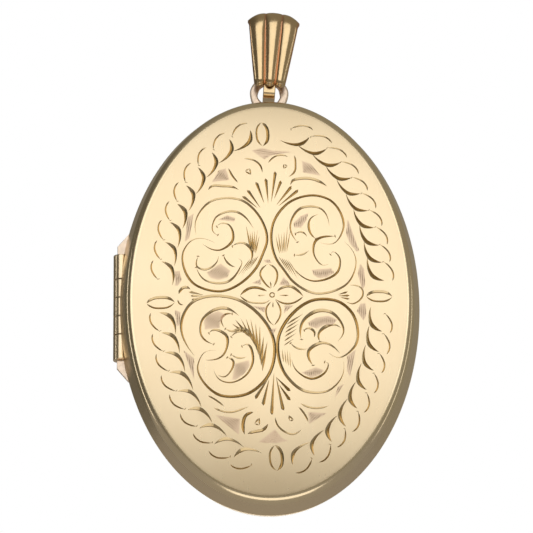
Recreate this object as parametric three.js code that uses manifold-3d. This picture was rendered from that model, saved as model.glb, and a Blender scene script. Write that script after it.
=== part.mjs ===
// Oval hinged picture locket with a soldered ring and a fluted bail, hanging closed.
// Units are millimetres. +Z is up and the engraved front faces -Y.
// The case is drawn around the middle of its own seam, and the whole pendant is then moved
// so that the middle of the bail's chain channel is the origin.

import * as THREE from "three";
import { mergeVertices } from "three/addons/utils/BufferGeometryUtils.js";
import Module from "manifold-3d";

const wasm = await Module();
wasm.setup();

// ---------- Driving dimensions ----------

// The two covers.
const CASE_WIDTH = 31; // across the rim, side to side
const CASE_HEIGHT = 45; // across the rim, top to bottom
const WALL_DEPTH = 2.58; // from the seam to the crease between wall and dome
const WALL_INSET = 0.7; // how far the wall leans inwards over that depth
const DOME_RISE = 0.72; // from the crease to the flat middle of the cover
const FLAT_SHARE = 0.35; // share of the dome's radius that is flat
const DOME_POWER = 2.2; // how late the dome falls away towards its edge
const CREASE_RADIUS = 0.3;
const COVER_SHEET = 0.45; // thickness of the stamped sheet
const EVEN_BAND = 5; // how far in from the rim the ovals keep an even distance to it
const OVAL_SEGMENTS = 64;
const CREASE_STEPS = 3;
const DOME_STEPS = 6;

// What each half holds: a seat ring, a card, a clear window and a sprung frame.
const SEAT_THICKNESS = 0.35;
const SEAT_WIDTH = 1.2;
const CARD_THICKNESS = 0.25;
const WINDOW_THICKNESS = 0.3;
const FRAME_SHEET = 0.3;
const FRAME_FACE_WIDTH = 1.7; // the gold border seen round each window
const FITTED_GAP = 0.03; // between pieces that are soldered or pressed together

// The snap rim stands up from the back cover and grips inside the front cover.
const SNAP_HEIGHT = 0.45; // in front of the seam
const SNAP_DEPTH = 0.5; // behind the seam
const SNAP_SHEET = 0.35;
const SNAP_GAP = 0.05; // to the front cover's wall
const HALF_GAP = 0.1; // between what the two halves hold, when shut

// The hinge on the left side.
const KNUCKLE_RADIUS = 0.77;
const KNUCKLE_BORE = 0.4;
const PIN_RADIUS = 0.36;
const HINGE_LENGTH = 11.4;
const END_KNUCKLE_LENGTH = 2.65;
const KNUCKLE_GAP = 0.06; // between one knuckle's end and the next
const HINGE_SET_IN = 0.19; // the pin's axis, inwards from the rim's widest point
const HINGE_SET_BACK = 0.45; // the pin's axis, behind the seam
const HINGE_RELIEF = 0.05; // round the knuckles, where they turn in the covers' walls
const KNUCKLE_SIDES = 24;
const WING_SHEET = 0.38;
const WING_SET_BACK = 0.12; // the wings' front face, behind the seam
const WING_OVERHANG = 0.18; // past the rim's widest point
const WING_EDGE_LENGTH = 0.9; // straight outer edge, past the end of the hinge
const WING_SLANT_LENGTH = 1.45; // slanted end, from the straight edge to the case

// The hanging ring, soldered upright to the top of the back cover.
const RING_OUTER_RADIUS = 2;
const RING_INNER_RADIUS = 1.15;
const RING_SHEET = 0.6;
const RING_EDGE_ROUND = 0.1;
const RING_SEGMENTS = 40;
const RING_RISE = 1.45; // its centre, above the rim's top
const RING_SET_BACK = 1.4; // its plane, behind the seam

// The bail: a fluted fan of sheet folded over the chain, and the strap that shuts its foot.
const BAIL_HEIGHT = 8.5; // from the foot of the front leaf to the top
const BAIL_FOOT_RISE = 0.35; // foot of the front leaf, above the ring's centre
const BACK_LEAF_RISE = 1.25; // foot of the back leaf, above that of the front leaf
const BAIL_FOLD_RADIUS = 2.1; // outside, over the chain
const BAIL_FOOT_HALF_DEPTH = 1.95; // outside
const BAIL_SHEET = 0.3;
const SHOULDER_HALF_WIDTH = 2.62;
const SHOULDER_SHARE = 1 / 3; // how far over the fold the leaf is widest
const FRONT_FOOT_HALF_WIDTH = 1.62;
const BACK_HALF_WIDTH = 1.75;
const BACK_FOOT_HALF_WIDTH = 1.3;
const LEAF_CROWN = 0.3; // how far the leaves' sides fall back from their middle
const FOLD_CROWN = 0.8; // the same, over the top of the fold
const FOLD_SQUARENESS = 0.74; // 1 would fold the sheet to a half circle
const FOLD_FLATTENING = 0.7; // how much of the flutes' depth is lost over the top
const FLUTE_DEPTH = 0.24;
const LOBE_DROP = 0.28; // how far the flutes' rounded ends hang below the valleys
const FLUTES = 3;
const STEPS_PER_FLUTE = 8;
const LEG_STEPS = 5;
const FOLD_STEPS = 12;
const BAIL_LEAN = THREE.MathUtils.degToRad(3.5); // the bail leans to the right on its ring
const STRAP_WIDTH = 1.25;
const STRAP_SHEET = 0.32;
const STRAP_CORNER = 0.5; // outside radius where the strap turns under the ring
const STRAP_DROP = 0.6; // the strap's underside, below the ring's centre
const STRAP_LAP = 2.4; // how far the strap's legs run up inside the front leaf

// ---------- Sizes that follow ----------

const CASE_HALF_WIDTH = CASE_WIDTH / 2;
const CASE_HALF_HEIGHT = CASE_HEIGHT / 2;
const WALL_LEAN = WALL_INSET / WALL_DEPTH;
const DOME_HALF_HEIGHT = CASE_HALF_HEIGHT - WALL_INSET;

const HINGE_X = -CASE_HALF_WIDTH + HINGE_SET_IN;
const NOTCH_RADIUS = KNUCKLE_RADIUS + HINGE_RELIEF;
const INNER_KNUCKLES = 3;
const INNER_KNUCKLE_LENGTH =
  (HINGE_LENGTH - 2 * END_KNUCKLE_LENGTH - (INNER_KNUCKLES + 1) * KNUCKLE_GAP) / INNER_KNUCKLES;

// Insets are measured inwards from the rim, depths away from the seam.
const wallInset = (depth) => COVER_SHEET + WALL_LEAN * depth; // inner face of a cover's wall
const HELD_DEPTH = FRAME_SHEET + WINDOW_THICKNESS + CARD_THICKNESS + SEAT_THICKNESS + 3 * FITTED_GAP;
const SNAP_INSET = wallInset(Math.max(SNAP_HEIGHT, SNAP_DEPTH)) + SNAP_GAP;
const BACK_FRAME_DEPTH = HALF_GAP - SNAP_HEIGHT; // its face stands just inside the snap rim
const FRONT_FRAME_DEPTH = SNAP_HEIGHT + HALF_GAP;
const FRAME_INSET = Math.max(
  SNAP_INSET + SNAP_SHEET + FITTED_GAP,
  HINGE_SET_IN + NOTCH_RADIUS + FITTED_GAP,
  wallInset(FRONT_FRAME_DEPTH + HELD_DEPTH) + FITTED_GAP,
);

const RING_MID_RADIUS = (RING_OUTER_RADIUS + RING_INNER_RADIUS) / 2;
const RING_Z = CASE_HALF_HEIGHT + RING_RISE;
const BAIL_FOOT_Z = RING_Z + BAIL_FOOT_RISE;
const BAIL_LEG_LENGTH = BAIL_HEIGHT - BAIL_FOLD_RADIUS;
const BAIL_FOLD_Z = BAIL_FOOT_Z + BAIL_LEG_LENGTH; // centre of the fold
const SHOULDER_RUN = SHOULDER_SHARE * Math.PI * BAIL_FOLD_RADIUS; // up from the fold's start
const STRAP_EDGE_CROWN = LEAF_CROWN * (STRAP_WIDTH / 2 / BACK_FOOT_HALF_WIDTH) ** 2;
const STRAP_HALF_DEPTH =
  BAIL_FOOT_HALF_DEPTH - FLUTE_DEPTH - BAIL_SHEET - STRAP_EDGE_CROWN - FITTED_GAP;

// ---------- Materials ----------

const gold = new THREE.MeshStandardMaterial({ color: 0xdcbf85, roughness: 0.35, metalness: 1 });
const brightGold = new THREE.MeshStandardMaterial({ color: 0xe2c489, roughness: 0.12, metalness: 1 });
const paleGold = new THREE.MeshStandardMaterial({ color: 0xe8c9a0, roughness: 0.3, metalness: 1 });
const card = new THREE.MeshStandardMaterial({ color: 0xece4d2, roughness: 0.9, metalness: 0 });
const acetate = new THREE.MeshStandardMaterial({
  color: 0xf4f6f2,
  roughness: 0.08,
  metalness: 0,
  transparent: true,
  opacity: 0.35,
});

// ---------- Solids ----------

function solidOf(geometry) {
  const bare = geometry.clone();
  bare.deleteAttribute("normal");
  bare.deleteAttribute("uv");
  const merged = mergeVertices(bare, 1e-4);
  return new wasm.Manifold(
    new wasm.Mesh({
      numProp: 3,
      vertProperties: new Float32Array(merged.attributes.position.array),
      triVerts: new Uint32Array(merged.index.array),
    }),
  );
}

function geometryOf(solid) {
  const { vertProperties, triVerts } = solid.getMesh();
  const geometry = new THREE.BufferGeometry();
  geometry.setAttribute("position", new THREE.BufferAttribute(vertProperties, 3));
  geometry.setIndex(new THREE.BufferAttribute(triVerts, 1));
  return geometry;
}

const cut = (geometry, ...tools) =>
  geometryOf(tools.reduce((left, tool) => left.subtract(solidOf(tool)), solidOf(geometry)));

// The half width of the oval whose half height is given. Ovals keep an even distance to the rim
// across the even band, and the proportions of the band's inner edge inside it.
function halfWidthAt(halfHeight) {
  const bandHalfHeight = CASE_HALF_HEIGHT - EVEN_BAND;
  const bandHalfWidth = CASE_HALF_WIDTH - EVEN_BAND;
  if (halfHeight < bandHalfHeight) return (halfHeight * bandHalfWidth) / bandHalfHeight;
  return halfHeight - bandHalfHeight + bandHalfWidth;
}

// An oval solid from a section of [inset, depth] points, which runs from the innermost front
// point outwards and back again. side is 1 behind the seam and -1 in front of it.
function oval(section, side) {
  const points = section.map(
    ([inset, depth]) => new THREE.Vector2(CASE_HALF_HEIGHT - inset, side * depth),
  );
  if (side < 0) points.reverse();
  const geometry = new THREE.LatheGeometry(points, OVAL_SEGMENTS);
  const position = geometry.attributes.position;
  for (let i = 0; i < position.count; i++) {
    const radius = Math.hypot(position.getX(i), position.getZ(i));
    if (radius > 0) position.setX(i, (position.getX(i) * halfWidthAt(radius)) / radius);
  }
  return geometry;
}

// A flat-sided oval ring.
const ovalBand = (outer, inner, shallow, deep, side) =>
  oval([[inner, shallow], [outer, shallow], [outer, deep], [inner, deep], [inner, shallow]], side);

// A flat oval plate.
const ovalPlate = (inset, shallow, deep, side) =>
  oval([[CASE_HALF_HEIGHT, shallow], [inset, shallow], [inset, deep], [CASE_HALF_HEIGHT, deep]], side);

// A bar along Z round the hinge's axis.
function hingeBar(radius, length, z = 0) {
  const bar = new THREE.CylinderGeometry(radius, radius, length, KNUCKLE_SIDES);
  bar.rotateX(Math.PI / 2);
  return bar.translate(HINGE_X, HINGE_SET_BACK, z);
}

// ---------- The covers ----------

function domeDepth(inset) {
  const share = (CASE_HALF_HEIGHT - inset) / DOME_HALF_HEIGHT;
  const fall = Math.max(0, share - FLAT_SHARE) / (1 - FLAT_SHARE);
  return WALL_DEPTH + DOME_RISE * (1 - fall ** DOME_POWER);
}

// One face of a cover from the rim to the middle: the wall, the rounded crease and the dome.
// offset moves the face inwards, and is negative for a shape that stands clear of the cover.
function coverFace(offset) {
  const wallPoint = (depth) => new THREE.Vector2(offset + WALL_LEAN * depth, depth);
  const corner = wallPoint(WALL_DEPTH - offset);
  const domeInset = corner.x + CREASE_RADIUS;
  const crease = new THREE.QuadraticBezierCurve(
    wallPoint(corner.y - CREASE_RADIUS),
    corner,
    new THREE.Vector2(domeInset, domeDepth(domeInset) - offset),
  );
  const face = crease.getPoints(CREASE_STEPS).map((point) => [point.x, point.y]);
  const flatInset = CASE_HALF_HEIGHT - FLAT_SHARE * DOME_HALF_HEIGHT;
  for (let i = 1; i <= DOME_STEPS; i++) {
    const inset = THREE.MathUtils.lerp(domeInset, flatInset, i / DOME_STEPS);
    face.push([inset, domeDepth(inset) - offset]);
  }
  return [[offset, 0], ...face, [CASE_HALF_HEIGHT, domeDepth(CASE_HALF_HEIGHT) - offset]];
}

const coverShell = (side) => oval([...coverFace(COVER_SHEET).reverse(), ...coverFace(0)], side);

// The room a closed cover takes up, with the fitted gap round it.
const coverRoom = (side) => oval([[CASE_HALF_HEIGHT, 0], ...coverFace(-FITTED_GAP)], side);

const hingeNotch = () => hingeBar(NOTCH_RADIUS, HINGE_LENGTH + 2 * HINGE_RELIEF);

// ---------- What the halves hold ----------

const snapRim = () => cut(
  ovalBand(SNAP_INSET, SNAP_INSET + SNAP_SHEET, -SNAP_HEIGHT, SNAP_DEPTH, 1),
  hingeNotch(),
);

// The frame, window, card and seat lie behind one another from this depth away from the seam.
function heldPieces(frameDepth, side) {
  const windowDepth = frameDepth + FRAME_SHEET + FITTED_GAP;
  const cardDepth = windowDepth + WINDOW_THICKNESS + FITTED_GAP;
  const seatDepth = cardDepth + CARD_THICKNESS + FITTED_GAP;
  const seatInset = wallInset(seatDepth + SEAT_THICKNESS) + FITTED_GAP;
  const frameInner = FRAME_INSET + FRAME_FACE_WIDTH;
  return {
    frame: ovalBand(FRAME_INSET, frameInner, frameDepth, frameDepth + FRAME_SHEET, side),
    window: ovalPlate(FRAME_INSET, windowDepth, windowDepth + WINDOW_THICKNESS, side),
    card: ovalPlate(FRAME_INSET, cardDepth, cardDepth + CARD_THICKNESS, side),
    seat: cut(
      ovalBand(seatInset, FRAME_INSET + SEAT_WIDTH, seatDepth, seatDepth + SEAT_THICKNESS, side),
      hingeNotch(),
    ),
  };
}

// ---------- The hinge ----------

// Knuckles from the top down, the case's and the cover's in turn.
function knuckleSpans() {
  const spans = [];
  let top = HINGE_LENGTH / 2;
  for (let i = 0; i < INNER_KNUCKLES + 2; i++) {
    const isEnd = i === 0 || i === INNER_KNUCKLES + 1;
    const length = isEnd ? END_KNUCKLE_LENGTH : INNER_KNUCKLE_LENGTH;
    spans.push({ length, z: top - length / 2 });
    top -= length + KNUCKLE_GAP;
  }
  return spans;
}

const knuckle = ({ length, z }) =>
  cut(hingeBar(KNUCKLE_RADIUS, length, z), hingeBar(KNUCKLE_BORE, length + KNUCKLE_GAP, z));

// A flat ear past one end of the hinge. end is 1 at the top and -1 at the bottom.
function hingeWing(end) {
  const start = HINGE_LENGTH / 2 + HINGE_RELIEF;
  const edgeEnd = start + WING_EDGE_LENGTH;
  const slantEnd = edgeEnd + WING_SLANT_LENGTH;
  const outer = -CASE_HALF_WIDTH - WING_OVERHANG;
  const rimX = -CASE_HALF_WIDTH * Math.sqrt(1 - (slantEnd / CASE_HALF_HEIGHT) ** 2);
  const shape = new THREE.Shape([
    new THREE.Vector2(outer, start),
    new THREE.Vector2(outer, edgeEnd),
    new THREE.Vector2(rimX, slantEnd),
    new THREE.Vector2(rimX + COVER_SHEET, slantEnd),
    new THREE.Vector2(rimX + COVER_SHEET, start),
  ]);
  const plate = new THREE.ExtrudeGeometry(shape, { depth: WING_SHEET, bevelEnabled: false });
  plate.rotateX(Math.PI / 2);
  plate.translate(0, WING_SET_BACK + WING_SHEET, 0);
  if (end < 0) plate.rotateX(Math.PI).translate(0, 2 * WING_SET_BACK + WING_SHEET, 0);
  return cut(plate, coverRoom(1));
}

// ---------- The ring, the bail and its strap ----------

function hangingRing() {
  const half = RING_SHEET / 2;
  const flat = half - RING_EDGE_ROUND;
  const section = [
    [RING_INNER_RADIUS, -flat],
    [RING_INNER_RADIUS + RING_EDGE_ROUND, -half],
    [RING_OUTER_RADIUS - RING_EDGE_ROUND, -half],
    [RING_OUTER_RADIUS, -flat],
    [RING_OUTER_RADIUS, flat],
    [RING_OUTER_RADIUS - RING_EDGE_ROUND, half],
    [RING_INNER_RADIUS + RING_EDGE_ROUND, half],
    [RING_INNER_RADIUS, flat],
    [RING_INNER_RADIUS, -flat],
  ];
  const ring = new THREE.LatheGeometry(
    section.map(([radius, y]) => new THREE.Vector2(radius, y)),
    RING_SEGMENTS,
  );
  ring.translate(0, RING_SET_BACK, RING_Z);
  return cut(ring, coverRoom(1));
}

// The folded leaf is a plate of cells, bent over: its length becomes the way up the front leaf,
// over the fold and down the back leaf.
function bailLeaf() {
  const across = FLUTES * STEPS_PER_FLUTE;
  const along = 2 * LEG_STEPS + FOLD_STEPS;
  const plate = new THREE.BoxGeometry(2, along, 1, across, along, 1);
  const position = plate.attributes.position;
  for (let i = 0; i < position.count; i++) {
    const u = position.getX(i);
    const step = position.getY(i) + along / 2;
    const isOuter = position.getZ(i) > 0;
    const bent = bailPoint(u, step, isOuter);
    position.setXYZ(i, bent.x, bent.y, bent.z);
  }
  return leaned(plate);
}

// One point of the leaf: u runs across from -1 to 1, step from the front foot to the back foot.
function bailPoint(u, step, isOuter) {
  const { lerp, clamp } = THREE.MathUtils;
  const over = clamp((step - LEG_STEPS) / FOLD_STEPS, 0, 1); // 0 on the front leaf, 1 on the back
  const frontUp = clamp(step / LEG_STEPS, 0, 1);
  const backDown = clamp((step - LEG_STEPS - FOLD_STEPS) / LEG_STEPS, 0, 1);
  const toShoulder = Math.min(over / SHOULDER_SHARE, 1);
  const pastShoulder = clamp((over - SHOULDER_SHARE) / (1 - SHOULDER_SHARE), 0, 1);
  const run = frontUp * BAIL_LEG_LENGTH + toShoulder * SHOULDER_RUN;
  const spread = run / (BAIL_LEG_LENGTH + SHOULDER_RUN);
  const frontHalf = lerp(FRONT_FOOT_HALF_WIDTH, SHOULDER_HALF_WIDTH, spread);
  const backHalf = lerp(BACK_HALF_WIDTH, BACK_FOOT_HALF_WIDTH, backDown);
  const halfWidth = lerp(frontHalf, backHalf, pastShoulder);
  const angle = over * Math.PI;
  const arch = Math.sin(angle); // 0 on the leaves, 1 at the top of the fold
  const bulge = Math.abs(Math.cos((u * FLUTES * Math.PI) / 2)); // 1 on a flute, 0 in a valley
  const crown = lerp(LEAF_CROWN, FOLD_CROWN, arch) * u * u;
  const valley = FLUTE_DEPTH * (1 - FOLD_FLATTENING * arch) * (1 - bulge);
  const sunk = crown + (isOuter ? valley : FLUTE_DEPTH + BAIL_SHEET);
  const upShare = over > 0 && over < 1 ? 1 : frontUp * (1 - backDown);
  const halfDepth = lerp(BAIL_FOOT_HALF_DEPTH, BAIL_FOLD_RADIUS, upShare) - sunk;
  const leafFoot = over > 0 ? BAIL_FOOT_Z + BACK_LEAF_RISE : BAIL_FOOT_Z;
  const foot = leafFoot + LOBE_DROP * (1 - bulge) * (1 - upShare);
  const forward = Math.sign(0.5 - over) * Math.abs(Math.cos(angle)) ** FOLD_SQUARENESS;
  return new THREE.Vector3(
    u * halfWidth,
    -forward * halfDepth,
    lerp(foot, BAIL_FOLD_Z, upShare) + Math.abs(arch) ** FOLD_SQUARENESS * halfDepth,
  );
}

// A strip of sheet bent to a U: its bottom passes through the ring and its legs run up
// inside the leaves.
function bailStrap() {
  const outer = STRAP_HALF_DEPTH;
  const inner = outer - STRAP_SHEET;
  const bottom = RING_Z - STRAP_DROP;
  const top = BAIL_FOOT_Z + STRAP_LAP;
  const outerCorner = Math.min(STRAP_CORNER, outer);
  const innerCorner = outerCorner - STRAP_SHEET;
  const shape = new THREE.Shape();
  shape.moveTo(-outer, top);
  shape.lineTo(-outer, bottom + outerCorner);
  shape.absarc(-outer + outerCorner, bottom + outerCorner, outerCorner, Math.PI, 1.5 * Math.PI);
  shape.absarc(outer - outerCorner, bottom + outerCorner, outerCorner, 1.5 * Math.PI, 2 * Math.PI);
  shape.lineTo(outer, top);
  shape.lineTo(inner, top);
  shape.absarc(outer - outerCorner, bottom + outerCorner, innerCorner, 0, -Math.PI / 2, true);
  shape.absarc(-outer + outerCorner, bottom + outerCorner, innerCorner, -Math.PI / 2, -Math.PI, true);
  shape.lineTo(-inner, top);
  const strap = new THREE.ExtrudeGeometry(shape, {
    depth: STRAP_WIDTH,
    bevelEnabled: false,
    curveSegments: 6,
  });
  strap.translate(0, 0, -STRAP_WIDTH / 2);
  strap.applyMatrix4(new THREE.Matrix4().set(0, 0, 1, 0, 1, 0, 0, 0, 0, 1, 0, 0, 0, 0, 0, 1));
  return leaned(strap);
}

// Moves a bail piece from the case's middle plane to the ring's plane, and leans it on the ring.
function leaned(geometry) {
  geometry.translate(0, 0, -RING_Z);
  geometry.rotateY(BAIL_LEAN);
  return geometry.translate(0, RING_SET_BACK, RING_Z);
}

// ---------- The pendant ----------

const group = new THREE.Group();

function place(name, geometry, material) {
  const mesh = new THREE.Mesh(geometry, material);
  mesh.name = name;
  group.add(mesh);
}

function placeHalf(half, frameDepth, side) {
  const held = heldPieces(frameDepth, side);
  place(`${half}_cover`, cut(coverShell(side), hingeNotch()), gold);
  place(`${half}_seat`, held.seat, paleGold);
  place(`${half}_card`, held.card, card);
  place(`${half}_window`, held.window, acetate);
  place(`${half}_frame`, held.frame, brightGold);
}

placeHalf("back", BACK_FRAME_DEPTH, 1);
placeHalf("front", FRONT_FRAME_DEPTH, -1);
place("snap_rim", snapRim(), paleGold);

const KNUCKLE_NAMES = ["case_top", "cover_upper", "case_middle", "cover_lower", "case_bottom"];
knuckleSpans().forEach((span, i) => place(`knuckle_${KNUCKLE_NAMES[i]}`, knuckle(span), gold));
place("hinge_pin", hingeBar(PIN_RADIUS, HINGE_LENGTH), brightGold);
place("hinge_wing_upper", hingeWing(1), paleGold);
place("hinge_wing_lower", hingeWing(-1), paleGold);

place("hanging_ring", hangingRing(), paleGold);
place("bail", bailLeaf(), brightGold);
place("bail_strap", bailStrap(), brightGold);

// The middle of the chain channel, under the bail's fold, is the origin.
const channelRise = BAIL_FOLD_Z - RING_Z;
group.position.set(
  -channelRise * Math.sin(BAIL_LEAN),
  -RING_SET_BACK,
  -RING_Z - channelRise * Math.cos(BAIL_LEAN),
);

export default group;
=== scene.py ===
import math
import random

import bmesh
import bpy
import numpy as np
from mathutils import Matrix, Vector
from mathutils.geometry import delaunay_2d_cdt


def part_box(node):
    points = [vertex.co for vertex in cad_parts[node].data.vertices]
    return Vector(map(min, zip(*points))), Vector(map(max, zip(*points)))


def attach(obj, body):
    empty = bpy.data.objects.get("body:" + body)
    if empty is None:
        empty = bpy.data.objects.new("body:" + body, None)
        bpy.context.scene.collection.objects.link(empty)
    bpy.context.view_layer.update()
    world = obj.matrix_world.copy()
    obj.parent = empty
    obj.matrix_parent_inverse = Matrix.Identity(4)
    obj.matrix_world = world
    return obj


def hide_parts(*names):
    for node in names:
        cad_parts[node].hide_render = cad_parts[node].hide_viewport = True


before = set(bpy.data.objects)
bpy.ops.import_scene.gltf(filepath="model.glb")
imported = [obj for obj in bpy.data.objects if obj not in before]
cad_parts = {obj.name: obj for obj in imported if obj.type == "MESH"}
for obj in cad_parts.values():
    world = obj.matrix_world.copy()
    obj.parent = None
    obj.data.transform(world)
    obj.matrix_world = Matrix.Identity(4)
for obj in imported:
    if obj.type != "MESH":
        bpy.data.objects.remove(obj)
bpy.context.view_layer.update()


# ---------------------------------------------------------------------------
# Where the case stands
# Everything on the case is drawn in millimetres from the middle of its seam:
# x to the right, y back through the case, z up.

MM = 0.001
card_low, card_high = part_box("front_card")
cover_low, cover_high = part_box("front_cover")
CASE_X = (card_low[0] + card_high[0]) / 2 / MM
CASE_Y = cover_high[1] / MM
CASE_Z = (cover_low[2] + cover_high[2]) / 2 / MM
HALF_WIDTH = cover_high[0] / MM - CASE_X
HALF_HEIGHT = (cover_high[2] - cover_low[2]) / 2 / MM


# ---------------------------------------------------------------------------
# Camera and studio
# A long lens looks up at the pendant from a little below. A wide soft light stands in
# front and above, a dim one glows up from the table, two strips stand at the sides and
# one light stands behind. The floor is seamless white paper.

CAMERA_AZIMUTH = math.radians(-1.5)
CAMERA_ELEVATION = math.radians(-19.5)
LENS = 720
SENSOR = 36
VIEW_SIDE = 54.95  # millimetres across the view, at the case
AIM_ABOVE_CASE = 4.32
AIM_LEFT_OF_CASE = 0.29


def direction(azimuth, elevation):
    """From the object towards a place at this azimuth and elevation."""
    level = math.cos(elevation)
    return Vector((math.sin(azimuth) * level, -math.cos(azimuth) * level, math.sin(elevation)))


def aim(thing, place, target):
    thing.location = place
    thing.rotation_euler = (target - place).to_track_quat("-Z", "Y").to_euler()
    bpy.context.scene.collection.objects.link(thing)


case_middle = Vector((CASE_X, CASE_Y, CASE_Z)) * MM
towards_camera = direction(CAMERA_AZIMUTH, CAMERA_ELEVATION)
camera_right = Vector((math.cos(CAMERA_AZIMUTH), math.sin(CAMERA_AZIMUTH), 0))
camera_up = towards_camera.cross(camera_right)
aim_point = case_middle + (camera_up * AIM_ABOVE_CASE - camera_right * AIM_LEFT_OF_CASE) * MM

camera_data = bpy.data.cameras.new("camera")
camera_data.lens = LENS
camera_data.sensor_width = SENSOR
camera_data.clip_start = 0.01
camera = bpy.data.objects.new("camera", camera_data)
aim(camera, aim_point + towards_camera * VIEW_SIDE * MM * LENS / SENSOR, aim_point)
bpy.context.scene.camera = camera
bpy.context.scene.view_settings.view_transform = "Standard"


COOL_WHITE = (0.985, 1.0, 1.0)
WARM_WHITE = (1.0, 0.99, 0.97)
LAMP_WHITE = (1.0, 0.98, 0.96)


def soft_light(name, azimuth, elevation, distance, width, height, power, tint):
    """A soft light that faces the case, in degrees, metres and watts."""
    lamp = bpy.data.lights.new(name, "AREA")
    lamp.shape = "RECTANGLE"
    lamp.size = width
    lamp.size_y = height
    lamp.energy = power
    lamp.color = tint
    away = direction(math.radians(azimuth), math.radians(elevation)) * distance
    aim(bpy.data.objects.new(name, lamp), case_middle + away, case_middle)


soft_light("front_softbox", -2, 22, 0.6, 0.64, 0.25, 0.58, COOL_WHITE)
soft_light("table_glow", 4, -50, 0.5, 0.5, 0.46, 0.6, WARM_WHITE)
soft_light("left_strip", -80, 8, 0.6, 0.08, 0.4, 0.16, WARM_WHITE)
soft_light("right_strip", 72, 4, 0.6, 0.06, 0.4, 0.08, WARM_WHITE)
soft_light("rear_softbox", 180, 12, 0.6, 0.34, 0.2, 0.24, LAMP_WHITE)


def linear(hex_colour):
    """An sRGB hex colour as the linear colour that a shader takes."""
    parts = [int(hex_colour[i : i + 2], 16) / 255 for i in (1, 3, 5)]
    return tuple(c / 12.92 if c <= 0.04045 else ((c + 0.055) / 1.055) ** 2.4 for c in parts) + (1,)


def add_node(tree, kind, settings=None, links=None):
    """A node with its settings, and links from other nodes' outputs into its inputs."""
    node = tree.nodes.new(kind)
    for key, value in (settings or {}).items():
        if isinstance(key, int) or key in node.inputs:
            node.inputs[key].default_value = value
        else:
            setattr(node, key, value)
    for key, output in (links or {}).items():
        tree.links.new(output, node.inputs[key])
    return node


# The room: white where it is seen, bright to matt surfaces, and dim in reflections, more so
# on the left. A shiny case then has dark edges, and paper still looks white.
world = bpy.data.worlds.new("studio")
bpy.context.scene.world = world
world.use_nodes = True
sky = world.node_tree
sky.nodes.clear()
white_wall = add_node(sky, "ShaderNodeBackground", {"Color": linear("#ffffff"), "Strength": 1.0})
room_place = add_node(sky, "ShaderNodeTexCoord").outputs["Generated"]
sideways = add_node(sky, "ShaderNodeSeparateXYZ", links={"Vector": room_place}).outputs["X"]
room_light = add_node(
    sky,
    "ShaderNodeMapRange",
    {"From Min": -0.65, "From Max": -0.15, "To Min": 0.13, "To Max": 0.28},
    {"Value": sideways},
)
dim_room = add_node(
    sky,
    "ShaderNodeBackground",
    {"Color": linear("#f6f0dd")},
    {"Strength": room_light.outputs["Result"]},
)
fill = add_node(sky, "ShaderNodeBackground", {"Color": linear("#ffffff"), "Strength": 0.8})
ray = add_node(sky, "ShaderNodeLightPath")
room = add_node(
    sky,
    "ShaderNodeMixShader",
    links={0: ray.outputs["Diffuse Depth"], 1: dim_room.outputs[0], 2: fill.outputs[0]},
)
studio = add_node(
    sky,
    "ShaderNodeMixShader",
    links={0: ray.outputs["Is Camera Ray"], 1: room.outputs[0], 2: white_wall.outputs[0]},
)
add_node(sky, "ShaderNodeOutputWorld", links={"Surface": studio.outputs[0]})

# Paper floor: matt and evenly pale where it is seen, and dimmer in the case's reflections.
FLOOR_BELOW = 0.42
FLOOR_SIDE = 8.0

paper_floor = bpy.data.materials.new("seamless_white_paper")
paper_floor.use_nodes = True
floor_tree = paper_floor.node_tree
floor_shader = floor_tree.nodes["Principled BSDF"]
floor_shader.inputs["Base Color"].default_value = linear("#a09c96")
floor_shader.inputs["Roughness"].default_value = 0.9
floor_pale = add_node(
    floor_tree, "ShaderNodeEmission", {"Color": linear("#f4f2ee"), "Strength": 1.0}
)
floor_ray = add_node(floor_tree, "ShaderNodeLightPath")
floor_look = add_node(
    floor_tree,
    "ShaderNodeMixShader",
    links={
        0: floor_ray.outputs["Is Camera Ray"],
        1: floor_shader.outputs[0],
        2: floor_pale.outputs[0],
    },
)
floor_tree.links.new(floor_look.outputs[0], floor_tree.nodes["Material Output"].inputs["Surface"])
floor_mesh = bpy.data.meshes.new("floor")
floor_z = case_middle.z - FLOOR_BELOW
corners = [(x * FLOOR_SIDE / 2, y * FLOOR_SIDE / 2) for x, y in ((-1, -1), (1, -1), (1, 1), (-1, 1))]
floor_mesh.from_pydata([(x, y, floor_z) for x, y in corners], [], [(0, 1, 2, 3)])
floor_mesh.materials.append(paper_floor)
floor = bpy.data.objects.new("floor", floor_mesh)
bpy.context.scene.collection.objects.link(floor)


# ---------------------------------------------------------------------------
# Front cover
# A domed oval stamped from nine carat yellow gold sheet. Its face is satin
# finished and engraved by hand, and its plain wall leans in from the rim.

WALL_DEPTH = 2.58
WALL_INSET = 0.7  # how far the wall leans in from the rim to the dome
WALL_LEAN = WALL_INSET / WALL_DEPTH
DOME_RISE = 0.72
FLAT_SHARE = 0.35  # of the dome, flat in the middle
DOME_POWER = 2.2
CREASE_RADIUS = 0.62
INNER_CREASE_RADIUS = 0.4
COVER_SHEET = 0.45
EVEN_BAND = 5  # inside the rim by this much, ovals stay evenly spaced
RIM_ROUND = 0.05
SEAM_GAP = 0.01  # each rim stands this far from the middle of the seam
AROUND = 192
CREASE_STEPS = 9
EDGE_SHARES = (0.35, 0.7, 1.0)  # rows between the crease and the engraved face

DOME_HALF_HEIGHT = HALF_HEIGHT - WALL_INSET
BAND_HALF_HEIGHT = HALF_HEIGHT - EVEN_BAND
BAND_HALF_WIDTH = HALF_WIDTH - EVEN_BAND

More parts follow.
